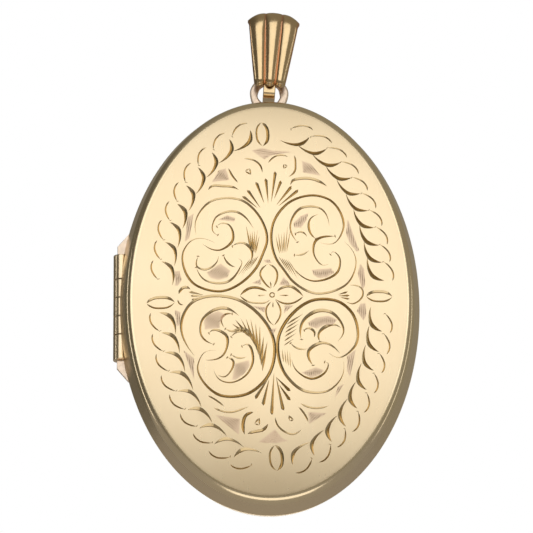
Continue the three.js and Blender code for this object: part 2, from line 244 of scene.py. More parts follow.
knuckle_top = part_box("knuckle_case_top")
knuckle_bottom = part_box("knuckle_case_bottom")
HINGE_X = (knuckle_top[0][0] + knuckle_top[1][0]) / 2 / MM - CASE_X
HINGE_Y = (knuckle_top[0][1] + knuckle_top[1][1]) / 2 / MM - CASE_Y
HINGE_HALF = (knuckle_top[1][2] - knuckle_bottom[0][2]) / 2 / MM
KNUCKLE_RADIUS = (knuckle_top[1][0] - knuckle_top[0][0]) / 2 / MM
HINGE_GAP = 0.05
NOTCH_RADIUS = KNUCKLE_RADIUS + HINGE_GAP
NOTCH_HALF = HINGE_HALF + HINGE_GAP


def half_width_at(half_height):
    """Half width of the oval with this half height: evenly inside the rim, then in proportion."""
    inner = half_height * BAND_HALF_WIDTH / BAND_HALF_HEIGHT
    return np.where(
        half_height < BAND_HALF_HEIGHT, inner, half_height - BAND_HALF_HEIGHT + BAND_HALF_WIDTH
    )


def oval_through(x, z):
    """Half height of the oval through each point, by halving."""
    low, high = np.full_like(x, 1e-6), np.full_like(x, 2 * HALF_HEIGHT)
    for _ in range(40):
        middle = (low + high) / 2
        outside = (x / half_width_at(middle)) ** 2 + (z / middle) ** 2 > 1
        low, high = np.where(outside, middle, low), np.where(outside, high, middle)
    return high


def dome_depth(half_height):
    fall = np.maximum(0, half_height / DOME_HALF_HEIGHT - FLAT_SHARE) / (1 - FLAT_SHARE)
    return WALL_DEPTH + DOME_RISE * (1 - fall**DOME_POWER)


def cover_profile(offset, until_inset, radius):
    """[inset, depth] of one face of the cover, from the rim over the crease to an inset."""

    def wall(depth):
        return np.array([offset + WALL_LEAN * depth, depth])

    corner = wall(WALL_DEPTH - offset)
    start = wall(corner[1] - radius)
    end_inset = corner[0] + radius
    end = np.array([end_inset, dome_depth(HALF_HEIGHT - end_inset) - offset])
    points = [wall(0)] + [wall(start[1] * share) for share in (0.35, 0.7)]
    for i in range(CREASE_STEPS + 1):
        t = i / CREASE_STEPS
        points.append(start * (1 - t) ** 2 + corner * 2 * t * (1 - t) + end * t**2)
    for share in EDGE_SHARES:
        inset = end_inset + (until_inset - end_inset) * share
        points.append(np.array([inset, dome_depth(HALF_HEIGHT - inset) - offset]))
    return points


def around_angles():
    """Angles round the oval from the top, with a pair at each end of the hinge notch."""
    step = 1e-3
    corner = math.acos(NOTCH_HALF / HALF_HEIGHT)
    angles = [2 * math.pi * i / AROUND for i in range(AROUND)]
    for end in (2 * math.pi - corner, math.pi + corner):
        angles = [a for a in angles if abs(a - end) > 4 * step] + [end - step, end + step]
    return sorted(angles)


ANGLES = around_angles()


def oval_ring(inset, depth, side, notch=-1.0, wall_offset=0.0):
    """Points of one oval. side is 1 behind the seam and -1 in front. Along the hinge, a point
    nearer the seam than the notch's floor moves down its wall to that floor."""
    ring = []
    for angle in ANGLES:
        in_hinge = math.sin(angle) < 0 and abs(math.cos(angle)) * HALF_HEIGHT < NOTCH_HALF
        lifted = in_hinge and depth < notch
        here = wall_offset + WALL_LEAN * notch if lifted else inset
        height = HALF_HEIGHT - here
        width = float(half_width_at(np.array(height)))
        y = side * (notch if lifted else depth)
        ring.append((width * math.sin(angle), y, height * math.cos(angle)))
    return ring


def in_place(points):
    """Case millimetres to metres in the part's own frame."""
    return [((x + CASE_X) * MM, (y + CASE_Y) * MM, (z + CASE_Z) * MM) for x, y, z in points]


def make_piece(
    name, points, faces, materials, body, replaced, sharp=35, face_slots=None
):
    """A closed piece from case millimetres, smooth except over edges sharper than sharp."""
    mesh = bpy.data.meshes.new(name)
    mesh.from_pydata(in_place(points), [], faces)
    edit = bmesh.new()
    edit.from_mesh(mesh)
    bmesh.ops.recalc_face_normals(edit, faces=edit.faces)
    edit.to_mesh(mesh)
    edit.free()
    for material in materials:
        mesh.materials.append(material)
    if face_slots is not None:
        mesh.polygons.foreach_set("material_index", face_slots)
    mesh.polygons.foreach_set("use_smooth", [True] * len(mesh.polygons))
    mesh.set_sharp_from_angle(angle=math.radians(sharp))
    mesh.update()
    thing = bpy.data.objects.new(name, mesh)
    bpy.context.scene.collection.objects.link(thing)
    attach(thing, body)
    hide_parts(*replaced)
    return thing


def loft(rings, around=True, closed=False):
    """Faces between rings of equal length. around joins each ring's end to its start, and
    closed joins the last ring to the first."""
    count = len(rings[0])
    pairs = [(a, a + 1) for a in range(len(rings) - 1)] + ([(len(rings) - 1, 0)] if closed else [])
    faces = []
    for a, b in pairs:
        for i in range(count if around else count - 1):
            j = (i + 1) % count
            faces.append((a * count + i, a * count + j, b * count + j, b * count + i))
    return faces


MIX_A, MIX_B, MIX_RESULT = 6, 7, 2  # the colour sockets of a Mix node
BRUSH_STRETCH = 0.04  # a brush line is this much finer across than along
POLISH_GRAIN = 0.35  # millimetres across the grain of a polish without brush lines
SCRATCH_DEPTH = 0.05


def gold(name, colour, deep_colour, roughness, spread, brush_mm=None, bump=0.02, warm_mm=6.0):
    """A nine carat gold, from its clean tone to its warmer one in patches of warm_mm. Its
    roughness varies by spread, along upright brush lines where brush_mm gives their width."""
    material = bpy.data.materials.new(name)
    material.use_nodes = True
    tree = material.node_tree
    shader = tree.nodes["Principled BSDF"]
    shader.inputs["Metallic"].default_value = 1.0
    place = add_node(tree, "ShaderNodeTexCoord").outputs["Object"]
    patches = add_node(
        tree, "ShaderNodeTexNoise", {"Scale": 1 / (warm_mm * MM), "Detail": 4.0}, {"Vector": place}
    )
    tone = add_node(
        tree,
        "ShaderNodeMix",
        {"data_type": "RGBA", MIX_A: linear(colour), MIX_B: linear(deep_colour)},
        {0: patches.outputs["Fac"]},
    )
    tree.links.new(tone.outputs[MIX_RESULT], shader.inputs["Base Color"])
    stretch = (1, 1, BRUSH_STRETCH) if brush_mm else (1, 1, 1)
    stretched = add_node(tree, "ShaderNodeMapping", {"Scale": stretch}, {"Vector": place})
    lines = add_node(
        tree,
        "ShaderNodeTexNoise",
        {"Scale": 1 / ((brush_mm or POLISH_GRAIN) * MM), "Detail": 3.0},
        {"Vector": stretched.outputs[0]},
    )
    shine = add_node(
        tree,
        "ShaderNodeMapRange",
        {"To Min": roughness - spread, "To Max": roughness + spread},
        {"Value": lines.outputs["Fac"]},
    )
    tree.links.new(shine.outputs[0], shader.inputs["Roughness"])
    relief = add_node(
        tree,
        "ShaderNodeBump",
        {"Strength": bump, "Distance": SCRATCH_DEPTH * MM},
        {"Height": lines.outputs["Fac"]},
    )
    tree.links.new(relief.outputs[0], shader.inputs["Normal"])
    return material


# Satin gold: a lapped face with fine upright brush lines and a soft, slightly uneven shine.
satin_gold = gold("satin_lapped_gold", "#f9e4c1", "#f4dbb4", 0.28, 0.016, brush_mm=0.16, bump=0.014)
# Bright-cut gold: the mirror-like facets that a graver leaves, darker where they see the room. Its
# colour is also painted shade: a darker gold than the face's, so that the cuts read dark.
cut_gold_painted_shade = gold("bright_cut_gold_painted_shade", "#e6d0a6", "#c9ad7c", 0.2, 0.05, bump=0.05, warm_mm=1.2)
# Hatched ground: gold scored so finely that it looks grey, rosy and dull.
ground_gold = gold("hatched_ground_gold", "#fae0c2", "#f0d2b2", 0.38, 0.08, brush_mm=0.12, bump=0.2)
# Burnished gold: the crease round the cover, rubbed bright by handling.
burnished_gold = gold(
    "burnished_edge_gold", "#fbe8c6", "#f5ddb2", 0.17, 0.05, brush_mm=0.4, bump=0.05
)

# The engraving. Lengths are millimetres from the middle of the cover, and every cut is a V.
PATTERN_X, PATTERN_Z = 0.15, 0.3
CUT_SLOPE = 0.42  # depth of a cut against its width
SAMPLE = 0.22  # spacing of points along a cut


def smooth_path(points, spacing=SAMPLE):
    """A smooth curve through a few points, sampled at an even spacing."""
    p = np.array(points, float)
    if len(p) == 2:
        count = max(2, int(np.linalg.norm(p[1] - p[0]) / spacing))
        return np.array([p[0] + (p[1] - p[0]) * i / count for i in range(count + 1)])
    gaps = np.linalg.norm(np.diff(p, axis=0), axis=1)
    slopes = np.diff(p, axis=0) / gaps[:, None]
    share = (gaps[:-1] / (gaps[:-1] + gaps[1:]))[:, None]
    inner = slopes[:-1] * (1 - share) + slopes[1:] * share
    slopes = np.vstack([2 * slopes[0] - inner[0], inner, 2 * slopes[-1] - inner[-1]])
    curve = []
    for k, gap in enumerate(gaps):
        count = max(1, math.ceil(gap / spacing))
        for t in np.arange(count) / count:
            ends = p[k] * (1 + 2 * t) * (1 - t) ** 2 + p[k + 1] * t**2 * (3 - 2 * t)
            bends = slopes[k] * t * (1 - t) ** 2 - slopes[k + 1] * t**2 * (1 - t)
            curve.append(ends + bends * gap)
    return np.array(curve + [p[-1]])


# How a cut's width runs from its start, where t is 0, to its end, where t is 1.
SWELL = {
    "line": lambda t: (
        np.minimum(1, np.minimum(t / 0.12, (1 - t) / 0.2)) ** 0.8
        * (0.75 + 0.25 * np.sin(math.pi * t))
    ),
    "comma": lambda t: np.minimum(1, t / 0.3) ** 0.75 * np.minimum(1, (1 - t) / 0.6) ** 0.9,
    "wedge": lambda t: np.minimum(1, t / 0.06) * (1 - t) ** 0.8,
    "even": lambda t: np.minimum(1, np.minimum(t, 1 - t) / 0.05),
}
LEAST_WIDTH = 0.52  # of a cut that is widest at one place, as a share of its width there
WIDE_REACH = 0.26  # of that widening along the cut

cuts = []  # (path, left half widths, right half widths, deepest)


def engrave(points, width, swell="line", lean=0.0, depth=CUT_SLOPE, spacing=SAMPLE, widest=None):
    """One cut. lean from -1 to 1 shifts its bottom to the left or right of its width, and
    widest is the share of its length at which the graver leaned in most."""
    path = smooth_path(points, spacing)
    length = np.concatenate([[0], np.cumsum(np.linalg.norm(np.diff(path, axis=0), axis=1))])
    share = length / length[-1]
    full = width * np.clip(SWELL[swell](share), 0, 1)
    if widest is not None:
        full *= LEAST_WIDTH + (1 - LEAST_WIDTH) * np.exp(-(((share - widest) / WIDE_REACH) ** 2))
    cuts.append((path, full * (1 + lean) / 2, full * (1 - lean) / 2, full * depth))


# Laurel border: a rope of leaves that runs one way round, each an outer hairline, a broad
# comma that the graver rolls into, and a short nick. Leaf points are along the border and
# out from it.
BORDER_HALF_WIDTH = 10.55
BORDER_HALF_HEIGHT = 17.4
LEAVES = (9, 9, 9, 10)  # between the four pointed ovals, from the top anticlockwise
LEAF_END_GAP = 2.7  # from the middle of a pointed oval to the nearest leaf's place
COMMA = [(-0.95, 1.12), (-0.7, 0.52), (-0.3, 0.02), (0.3, -0.28), (1.05, -0.42), (1.72, -0.4)]
HAIRLINE = [(-1.04, 1.95), (-0.5, 2.1), (0.1, 2.02), (0.66, 1.68), (1.14, 1.2)]
NICK = [(1.2, 1.32), (1.02, 1)]


def border_place(angle):
    return np.array([
        PATTERN_X - BORDER_HALF_WIDTH * math.sin(angle),
        PATTERN_Z + BORDER_HALF_HEIGHT * math.cos(angle),
    ])


def border_angles(start, count):
    """Angles of a quarter's leaves, evenly spaced between the pointed ovals at its ends."""
    fine = np.linspace(start, start + math.pi / 2, 400)
    steps = np.linalg.norm(np.diff([border_place(a) for a in fine], axis=0), axis=1)
    run = np.concatenate([[0], np.cumsum(steps)])
    return np.interp(np.linspace(LEAF_END_GAP, run[-1] - LEAF_END_GAP, count), run, fine)


hand = random.Random(11)
for quarter, count in enumerate(LEAVES):
    for angle in border_angles(quarter * math.pi / 2, count):
        middle = border_place(angle)
        along = border_place(angle + 1e-3) - border_place(angle - 1e-3)
        along /= np.linalg.norm(along)
        out = np.array([along[1], -along[0]])
        size = 0.93 + 0.08 * hand.random()
        turn = 0.07 * (hand.random() - 0.5)

        def leaf(points):
            turned_points = [(s + turn * n, n - turn * s) for s, n in points]
            return [middle + (along * s + out * n) * size for s, n in turned_points]

        engrave(leaf(COMMA), 0.38 + 0.06 * hand.random(), "comma", lean=0.5, depth=0.4)
        engrave(leaf(HAIRLINE), 0.17, "line", lean=-0.3, depth=0.5)
        engrave(leaf(NICK), 0.16, "wedge")

# Pointed ovals at the top, bottom, left and right, each drawn with two bowed cuts.
for (x0, z0), (x1, z1), belly in (
    ((-0.9, 19.4), (-0.75, 16.7), 0.55),
    ((0.5, -15.9), (0.7, -18.6), 0.6),
    ((-12.7, -0.55), (-9.8, -0.5), 0.55),
    ((9.9, 0.35), (12.6, 0.4), 0.5),
):
    start, end = np.array([x0, z0]), np.array([x1, z1])
    across = np.array([start[1] - end[1], end[0] - start[0]])
    across /= np.linalg.norm(across)
    for side, width in ((1, 0.34), (-1, 0.2)):
        arc = [
            start + (end - start) * share + across * side * belly * out
            for share, out in ((0, 0), (0.25, 0.85), (0.5, 1), (0.75, 0.85), (1, 0))
        ]
        engrave(arc, width, "line", lean=0.3 * side)

# Four scrolled medallions, each a great C that closes on itself over smaller curls. A row
# is a cut's width, where along it the cut is widest, and the points it runs through.
UPPER_LEFT = (
    (0.27, None, [(-7.6, 6.8), (-7.7, 8.1), (-6.1, 10.5), (-3.2, 10.7), (-0.4, 6), (-0.8, 4.8),
        (-1.4, 3.4), (-5.3, 0.7), (-7.9, 1.6), (-8.8, 5.3), (-8.1, 6.2), (-5.6, 5.9)]),
    (0.26, 0.6, [(-5.4, 6.8), (-5.8, 7.1), (-5.6, 8.7), (-4, 9.4), (-1.7, 7.5)]),
    (0.27, 0.45, [(-5.5, 7.75), (-5, 8.1), (-4.4, 8), (-3.9, 6.3), (-5.2, 5.2), (-7, 5.9)]),
    (0.3, 0.5, [(-3.9, 5.6), (-2.7, 5.9), (-2.1, 5.4), (-2.1, 3.7)]),
    (0.24, 0.5, [(-7.4, 4.5), (-7.5, 3.3), (-6.8, 3), (-5.5, 3.8), (-5.3, 4.6)]),
    (0.27, 0.5, [(-7.6, 3.3), (-6.9, 2), (-4.3, 1.7), (-3.1, 3.2), (-2.9, 3.9), (-3.35, 4.3)]),
    (0.22, 0.5, [(-4.8, 4.6), (-4.1, 3.5), (-3.5, 3.3)]),
)
LOWER_LEFT = (
    (0.34, None, [(-7.7, -6.4), (-8.9, -2), (-8.3, -0.9), (-3.3, -0.3), (-2, -1.1), (0.3, -4.6),
        (-0.3, -8.5), (-2.4, -10.4), (-5.2, -10.5), (-7.4, -7.4), (-6.6, -5.9), (-5.5, -5.8)]),
    (0.4, 0.78, [(-5.8, -5.1), (-7, -4.2), (-7, -2.6), (-4.8, -1.2), (-3.2, -2)]),
    (0.34, 0.25, [(-6.3, -3.9), (-5.9, -3.6), (-4.6, -4.1), (-4.9, -6.3), (-6.7, -6.8)]),
    (0.24, 0.4, [(-3.9, -1.8), (-4.6, -1.8), (-5, -2.2), (-4.7, -3.3)]),
    (0.34, 0.5, [(-4.6, -3.4), (-4, -3.7), (-2.7, -3.4), (-1.9, -4)]),
    (0.22, 0.5, [(-4, -4.3), (-3.6, -3.9), (-2.2, -3.8), (-1.6, -4.3)]),
    (0.3, 0.15, [(-2.9, -5.3), (-2.4, -5.1), (-1.8, -6.6), (-2.5, -8.4), (-4.2, -9.2), (-5, -9),
        (-5.8, -7.8)]),
    (0.26, 0.2, [(-4.4, -6.5), (-3.9, -6.8), (-4.8, -8.6), (-5.4, -8.4)]),
    (0.2, 0.5, [(-4, -6.2), (-2.9, -6.6), (-2.4, -6.4)]),
)
UPPER_RIGHT = (
    (0.27, None, [(5.1, 6.1), (6.5, 6), (7.6, 7.8), (6.1, 10.9), (4.8, 11.3), (2.1, 10.6),
        (0.4, 8.5), (0.6, 4.2), (1.4, 3), (2.2, 1.9), (4.6, 0.5), (8.1, 1.8), (8.8, 4.6),
        (7.6, 6.3)]),
    (0.28, 0.5, [(2.8, 6.1), (2.1, 7.8), (3.2, 9.8), (5.2, 9.8), (6.1, 7.9)]),
    (0.26, 0.4, [(4.7, 6.5), (4.2, 7.1), (4.2, 8.7), (5, 9.2)]),
    (0.28, 0.3, [(6.7, 6.8), (4.6, 6.2), (4.5, 4.7), (5.5, 3.6), (6.1, 3.8)]),
    (0.25, 0.4, [(6.2, 4.8), (6.5, 5.1), (7, 4.7), (7, 3.1), (4.5, 1.9), (2.1, 3.7)]),
    (0.2, 0.5, [(2.6, 7), (3.2, 7.2), (3.8, 6.7)]),
    (0.2, 0.5, [(2.5, 4.7), (3.2, 4.7), (4, 5.2)]),
)
LOWER_RIGHT = (
    (0.34, None, [(6, -5.9), (6.9, -6.4), (8.7, -5.2), (8.4, -1.4), (7.3, -0.4), (4.7, -0.1),
        (0.8, -4.3), (1.5, -8.3), (3.5, -10.1), (6, -10), (7.5, -8.1), (7.5, -6.7)]),
    (0.42, 0.4, [(3.2, -4.5), (3.4, -2.6), (5.1, -1.4), (6.1, -1.5), (7.5, -3.7), (6.9, -4.7)]),
    (0.28, 0.5, [(3.5, -3.5), (4, -3.3), (4.5, -3.7), (4.5, -4.3)]),
    (0.38, 0.5, [(5.1, -4.7), (5, -4), (6.7, -2.9), (7.3, -3.2)]),
    (0.38, 0.4, [(4.4, -7.3), (4, -5.8), (5.3, -4.9), (7.2, -6)]),
    (0.26, 0.4, [(5.6, -6.9), (5.9, -7), (5.8, -7.7), (4.3, -8.7), (2.6, -7.7), (2.2, -6.6)]),
    (0.2, 0.5, [(2.1, -4.9), (2.6, -5.4), (3.9, -5.5)]),
)
TICK_REACH = 0.22  # of the small cut that closes the start of a curl
for medallion in (UPPER_LEFT, LOWER_LEFT, UPPER_RIGHT, LOWER_RIGHT):
    for width, widest, points in medallion:
        engrave(points, width, "line", lean=0.35, widest=widest)
        if widest is not None:
            start, after = np.array(points[0]), np.array(points[1])
            along = (after - start) / np.linalg.norm(after - start)
            tick = np.array([-along[1], along[0]]) * TICK_REACH
            engrave([start - tick, start + tick * 0.8], 0.26, "wedge")

# Flicks of shading that fan along the inside of each medallion, and the palmettes' rays.
FANS = (
    # width, count, and the bows that the flicks' fine tips and their roots stand on
    (0.17, 6, [(-2.5, 8), (-1.7, 7.9), (-1, 7.3)], [(-1.9, 5), (-1.7, 4.9), (-1.5, 4.8)]),
    (0.1, 5, [(-3.6, 2), (-3, 2.1), (-2.2, 3)], [(-2, 4.3), (-1.6, 4.4), (-1.2, 4.6)]),
    (0.26, 9, [(-4.3, -2.6), (-1.8, -1), (-0.2, -4.2)], [(-2.2, -4), (-1.2, -5.5), (-0.8, -8)]),
    (0.14, 6, [(2.2, 8), (1.2, 7.9), (0.5, 7.2)], [(1.7, 5), (1.4, 4.9), (1, 4.8)]),
    (0.1, 5, [(3.3, 1.8), (2.6, 1.9), (2, 2.6)], [(1.8, 4.2), (1.4, 4.3), (0.9, 4.5)]),
    (0.16, 6, [(3.7, -1.5), (3, -2.9), (2.6, -4.3)], [(1.7, -2.9), (1.4, -4), (1.4, -5.2)]),
    (0.1, 4, [(1.2, -5.3), (1.6, -5.4), (2, -5.5)], [(1.4, -7), (1.8, -7.3), (2.1, -7.6)]),
)


def bow(corners, t):
    a, b, c = (np.array(corner) for corner in corners)
    return a * (1 - t) ** 2 + 2 * b * t * (1 - t) + c * t**2


for width, count, tips, roots in FANS:
    for t in np.linspace(0, 1, count):
        tip, root = bow(tips, t), bow(roots, t)
        tip = tip + (root - tip) * 0.2 * hand.random()
        engrave([root, tip], width * (0.75 + 0.5 * hand.random()), "comma", lean=0.3)
RAYS = (
    (0.34, [(-2.9, 11.1, -1.3, 9.8), (-2.4, 11.8, -1, 9.8), (-1.5, 12.7, -0.6, 10.3),
            (-0.5, 13.1, -0.2, 10.3), (0.5, 13.9, 0.1, 10.4), (1.1, 12.9, 0.4, 10.8),
            (2.2, 12.3, 0.6, 10.1), (2.9, 11.9, 0.8, 10)]),
    (0.38, [(0.2, -12.7, 0.4, -8.1), (-1.5, -11, -0.1, -8.6), (-0.7, -11.7, -0.1, -8.8),
            (1.4, -12.2, 0.6, -8.5), (2.1, -10.1, 0.6, -8.6), (2.1, -11.1, 0.9, -9.4)]),
    (0.3, [(-8.4, 0.6, -6.8, 0.25), (-8.2, 0.15, -6.8, 0.15), (-8.1, -0.3, -7, 0.05)]),
    (0.26, [(8, 0.8, 7, 0.45), (8.2, 0.4, 7, 0.3), (8.2, 0, 7.2, 0.15)]),
    (0.2, [(0, 1.8, 0.1, 1), (0.3, -1.1, 0.3, -0.4), (1.9, 0.3, 0.9, 0.3), (-1.3, 0.2, -0.4, 0.3)]),
)
for width, rays in RAYS:
    for x0, z0, x1, z1 in rays:
        engrave([(x0, z0), (x1, z1)], width, "wedge", lean=0.3)

# Leaves of the palmettes above, below and beside the medallions, and the small flower with
# its eye.
LEAF_LINES = (
    (0.2, [(-2.7, 15.3), (-1.1, 14.6), (-0.8, 13.7)]),
    (0.2, [(-4.3, 14.2), (-4, 13.5), (-3.3, 12.6)]),
    (0.28, [(-6.4, 11.8), (-6, 12.2), (-4.9, 12.2), (-3.9, 12.1), (-3.2, 11.8)]),
    (0.18, [(-0.2, 14.8), (1.1, 15.7), (1.9, 15.5)]),
    (0.2, [(2.5, 15.7), (2.6, 14.8), (2.5, 13.9), (1.9, 13.3)]),
    (0.34, [(2.1, 12.4), (2.3, 12.8), (3.2, 13.1), (5.9, 12.3)]),
    (0.36, [(-1.7, -12.4), (-2.5, -12.7), (-2.8, -13.5), (-2.6, -14.8)]),
    (0.34, [(-2.3, -14.7), (-1.5, -14.5), (-0.7, -14.3), (-0.2, -13.6)]),
    (0.2, [(0.5, -12.9), (0.7, -13.7), (2.5, -14.7), (3.2, -14.2)]),
    (0.2, [(-5.8, -11.9), (-3.8, -12.4), (-2.9, -12.1), (-2.2, -11.8)]),
    (0.2, [(3.1, -11.4), (3.9, -11.8), (6, -11.6)]),
    (0.18, [(-6.4, -10.6), (-5.6, -11.1), (-4.7, -11.8)]),
    (0.2, [(2.9, -11.8), (3.4, -12.4), (3.9, -13.4)]),
    (0.32, [(-9.4, 0.4), (-8.7, 1.1), (-8.2, 0.9)]),
    (0.16, [(-9.5, -0.2), (-9.3, -0.7), (-8.9, -0.8)]),
    (0.17, [(8.2, 1.5), (9.5, 1), (9.5, 0.4), (8.4, -0.5), (7.8, -0.3)]),
    (0.2, [(0.1, 1), (-0.6, 1.7), (-1, 2.6), (-0.2, 3.7)]),
    (0.2, [(-0.2, 3.7), (0.4, 3.3), (0.3, 1.1)]),
    (0.3, [(0.7, 0.7), (2.2, 1.2), (2.9, 0.7), (3.4, 0.2)]),
    (0.2, [(3.4, 0.2), (1.7, -0.6), (0.5, -0.1)]),
    (0.18, [(0.1, -0.4), (-0.4, -1.1), (0, -2.7), (0.4, -3)]),
    (0.18, [(0.4, -3), (1.1, -1.4), (0.5, -0.2)]),
    (0.3, [(-0.3, 0.7), (-2, 1.1), (-3.1, 0.2)]),
    (0.2, [(-3.1, 0.2), (-2.4, -0.4), (-1.4, -0.6), (-0.4, -0.5), (0, -0.2)]),
)
for width, points in LEAF_LINES:
    engrave(points, width, "line", lean=0.25)
for corners in (
    [(-2.6, 13.9), (-2.1, 14.2), (-2, 13.5)],
    [(1.4, 14.7), (1.8, 14.5), (1.4, 14.2)],
    [(-1.6, -13.6), (-1.1, -13), (-1.1, -13.8)],
    [(1.9, -12.7), (2.4, -13.2), (2, -13.3)],
):
    for a, b in zip(corners, corners[1:] + corners[:1]):
        engrave([a, b], 0.16, "even")
EYE_X, EYE_Z, EYE_RADIUS = 0.2, 0.32, 0.24
eye = [
    (EYE_X + EYE_RADIUS * math.cos(angle), EYE_Z + EYE_RADIUS * math.sin(angle))
    for angle in np.linspace(0, 2 * math.pi, 11)
]
engrave(eye, 0.13, "even", spacing=0.1)

# Grounds: the small fields between the scrolls, scored with close hatching. A row is the
# angle of the hatching and the corners of the field.
GROUNDS = (
    (55, [(-6.5, 2.7), (-5.1, 3.7), (-4.1, 2.9), (-4.4, 2.2), (-5.3, 1.9), (-6.1, 2.1)]),
    (80, [(-5.4, 8.5), (-4.4, 9), (-3.6, 8.7), (-3.7, 8.3)]),
    (50, [(-6.8, -2.5), (-6.2, -1.8), (-5.3, -1.5), (-4.6, -1.9), (-5.1, -2.6), (-5.2, -3.3),
        (-6.7, -3.5)]),
    (50, [(-3.6, -7.2), (-2.2, -6.8), (-2.1, -7.4), (-2.7, -8.3), (-3.5, -8.9), (-3.9, -8.9)]),
    (95, [(2.4, 8.2), (3.2, 9), (3.9, 9.3), (3.8, 8.6), (3.2, 7.7), (2.5, 7.7)]),
    (100, [(4.3, 3.1), (6.3, 3.3), (6.6, 2.8), (5.8, 2.3), (5, 2.2), (4.5, 2.5)]),
    (95, [(3.8, -2.7), (4.7, -2.1), (6, -1.9), (6.9, -2.3), (6.5, -2.8), (5.5, -2.9), (4.8, -3.3),
        (4.1, -3.1)]),
    (95, [(3.2, -8.1), (4.7, -7.5), (5.5, -7.8), (5.1, -8.3), (4.2, -8.6)]),
    (80, [(-8.8, 6.1), (-8.5, 8.8), (-7.9, 9.2), (-8.3, 6.5)]),
    (88, [(-9.8, 2.9), (-9.3, 2.9), (-9.1, 1.9), (-9.5, 1.3), (-9.8, 1.3)]),
    (88, [(-9.8, -1.3), (-9.2, -1.6), (-9.3, -3), (-9.6, -3.1)]),
    (98, [(-8.9, -5.7), (-7.8, -6.6), (-7.8, -8.9)]),
    (95, [(8, 8.8), (9.2, 5.3), (8.9, 5.2), (8.2, 6.1), (7.8, 7.2)]),
    (88, [(9.3, 3.9), (9.7, 3.3), (9.8, 1.6), (9.5, 1), (9, 2.8)]),
    (88, [(9.3, -0.5), (9.8, -0.4), (9.9, -1.7), (9.6, -2.3), (8.9, -1.3)]),
    (80, [(7.9, -6.2), (8.8, -5.5), (8.2, -8.4), (7.9, -7.8)]),
    (62, [(6.6, -10.8), (6.9, -9.6), (7.6, -9.2)]),
    (8, [(-1.9, 16.2), (-0.8, 16.5), (0.2, 16.2), (2.3, 16.1), (0.2, 15.7), (-0.6, 15.2)]),
    (55, [(-6, 12.7), (-5.3, 14), (-4.6, 14.2), (-4.2, 12.9)]),
    (130, [(3.3, 15.1), (4.2, 14.8), (5.2, 13.5), (3.4, 13.8)]),
    (140, [(-5.6, -12.7), (-3.1, -13.1), (-3.2, -14.8)]),
    (45, [(3.9, -12.3), (5.8, -12.4), (4, -13.6)]),
    (172, [(-1.2, -15.6), (0.5, -14.2), (1.2, -15.1), (1.8, -15.4), (0.6, -15.7)]),
    (60, [(-1.9, 1.6), (-0.9, 2.1), (-1, 1.4)]),
    (120, [(0.9, 1.4), (1.4, 2.3), (2.1, 1.4)]),
    (120, [(-1.9, -0.9), (-0.4, -1), (-0.6, -1.6)]),
    (60, [(1.5, -0.8), (2.4, -0.8), (1.4, -1.7)]),
    (90, [(-0.7, 4.1), (-0.1, 4.2), (0.2, 3.8), (-0.4, 3.8)]),
    (90, [(-0.1, -3.4), (0.7, -3.3), (0.3, -4)]),
)
HATCH_PITCH = 0.2  # real hatching is about half as wide; drawn coarser so that it shows
HATCH_WIDTH = 0.1


def inside(corners, points):
    """Whether each point is inside a polygon, by crossings."""
    result = np.zeros(len(points), bool)
    for (x0, z0), (x1, z1) in zip(corners, corners[1:] + corners[:1]):
        crosses = (z0 > points[:, 1]) != (z1 > points[:, 1])
        edge = x0 + (points[:, 1] - z0) * (x1 - x0) / ((z1 - z0) or 1e-9)
        result ^= crosses & (points[:, 0] < edge)
    return result


def hatch(angle, corners):
    """Parallel scores across a polygon."""
    turned = math.radians(angle)
    along = np.array([math.cos(turned), math.sin(turned)])
    across = np.array([-along[1], along[0]])
    corner_array = np.array(corners)
    offsets = corner_array @ across
    reach = np.abs(corner_array @ along).max() + 1
    steps = np.arange(-reach, reach, 0.05)
    for offset in np.arange(offsets.min() + HATCH_PITCH / 2, offsets.max(), HATCH_PITCH):
        line = across * offset + steps[:, None] * along
        within = np.flatnonzero(inside(corners, line))
        if len(within) > 4:
            engrave([line[within[0]], line[within[-1]]], HATCH_WIDTH, "even", depth=0.25, spacing=5)


for angle, corners in GROUNDS:
    hatch(angle, corners)


def cut_depth(points):
    """Depth of the deepest cut at each point."""
    depth = np.zeros(len(points))
    for path, left, right, deepest in cuts:
        reach = max(left.max(), right.max()) + 0.01
        low, high = path.min(0) - reach, path.max(0) + reach
        near = np.flatnonzero(((points >= low) & (points <= high)).all(1))
        if not len(near):
            continue
        p = points[near][:, None, :]
        a, run = path[:-1][None], np.diff(path, axis=0)[None]
        t = np.clip(((p - a) * run).sum(2) / np.maximum((run**2).sum(2), 1e-12), 0, 1)
        gap = p - a - run * t[..., None]
        distance = np.linalg.norm(gap, axis=2)
        on_left = run[..., 0] * gap[..., 1] - run[..., 1] * gap[..., 0] > 0

        def beside(values):
            return values[:-1][None] * (1 - t) + values[1:][None] * t

        half = np.where(on_left, beside(left), beside(right))
        here = beside(deepest) * np.maximum(0, 1 - distance / np.maximum(half, 1e-6))
        depth[near] = np.maximum(depth[near], here.max(1))
    return depth


FACE_INSET = 2.0  # the engraved face is inside this, and the plain edge round it
GRID = 0.75  # of the face's points where there is no cut
EDGE_CLEARANCE = 0.4  # from those points to the face's edge
LEAST_CUT = 2e-3  # shallower than this counts as uncut


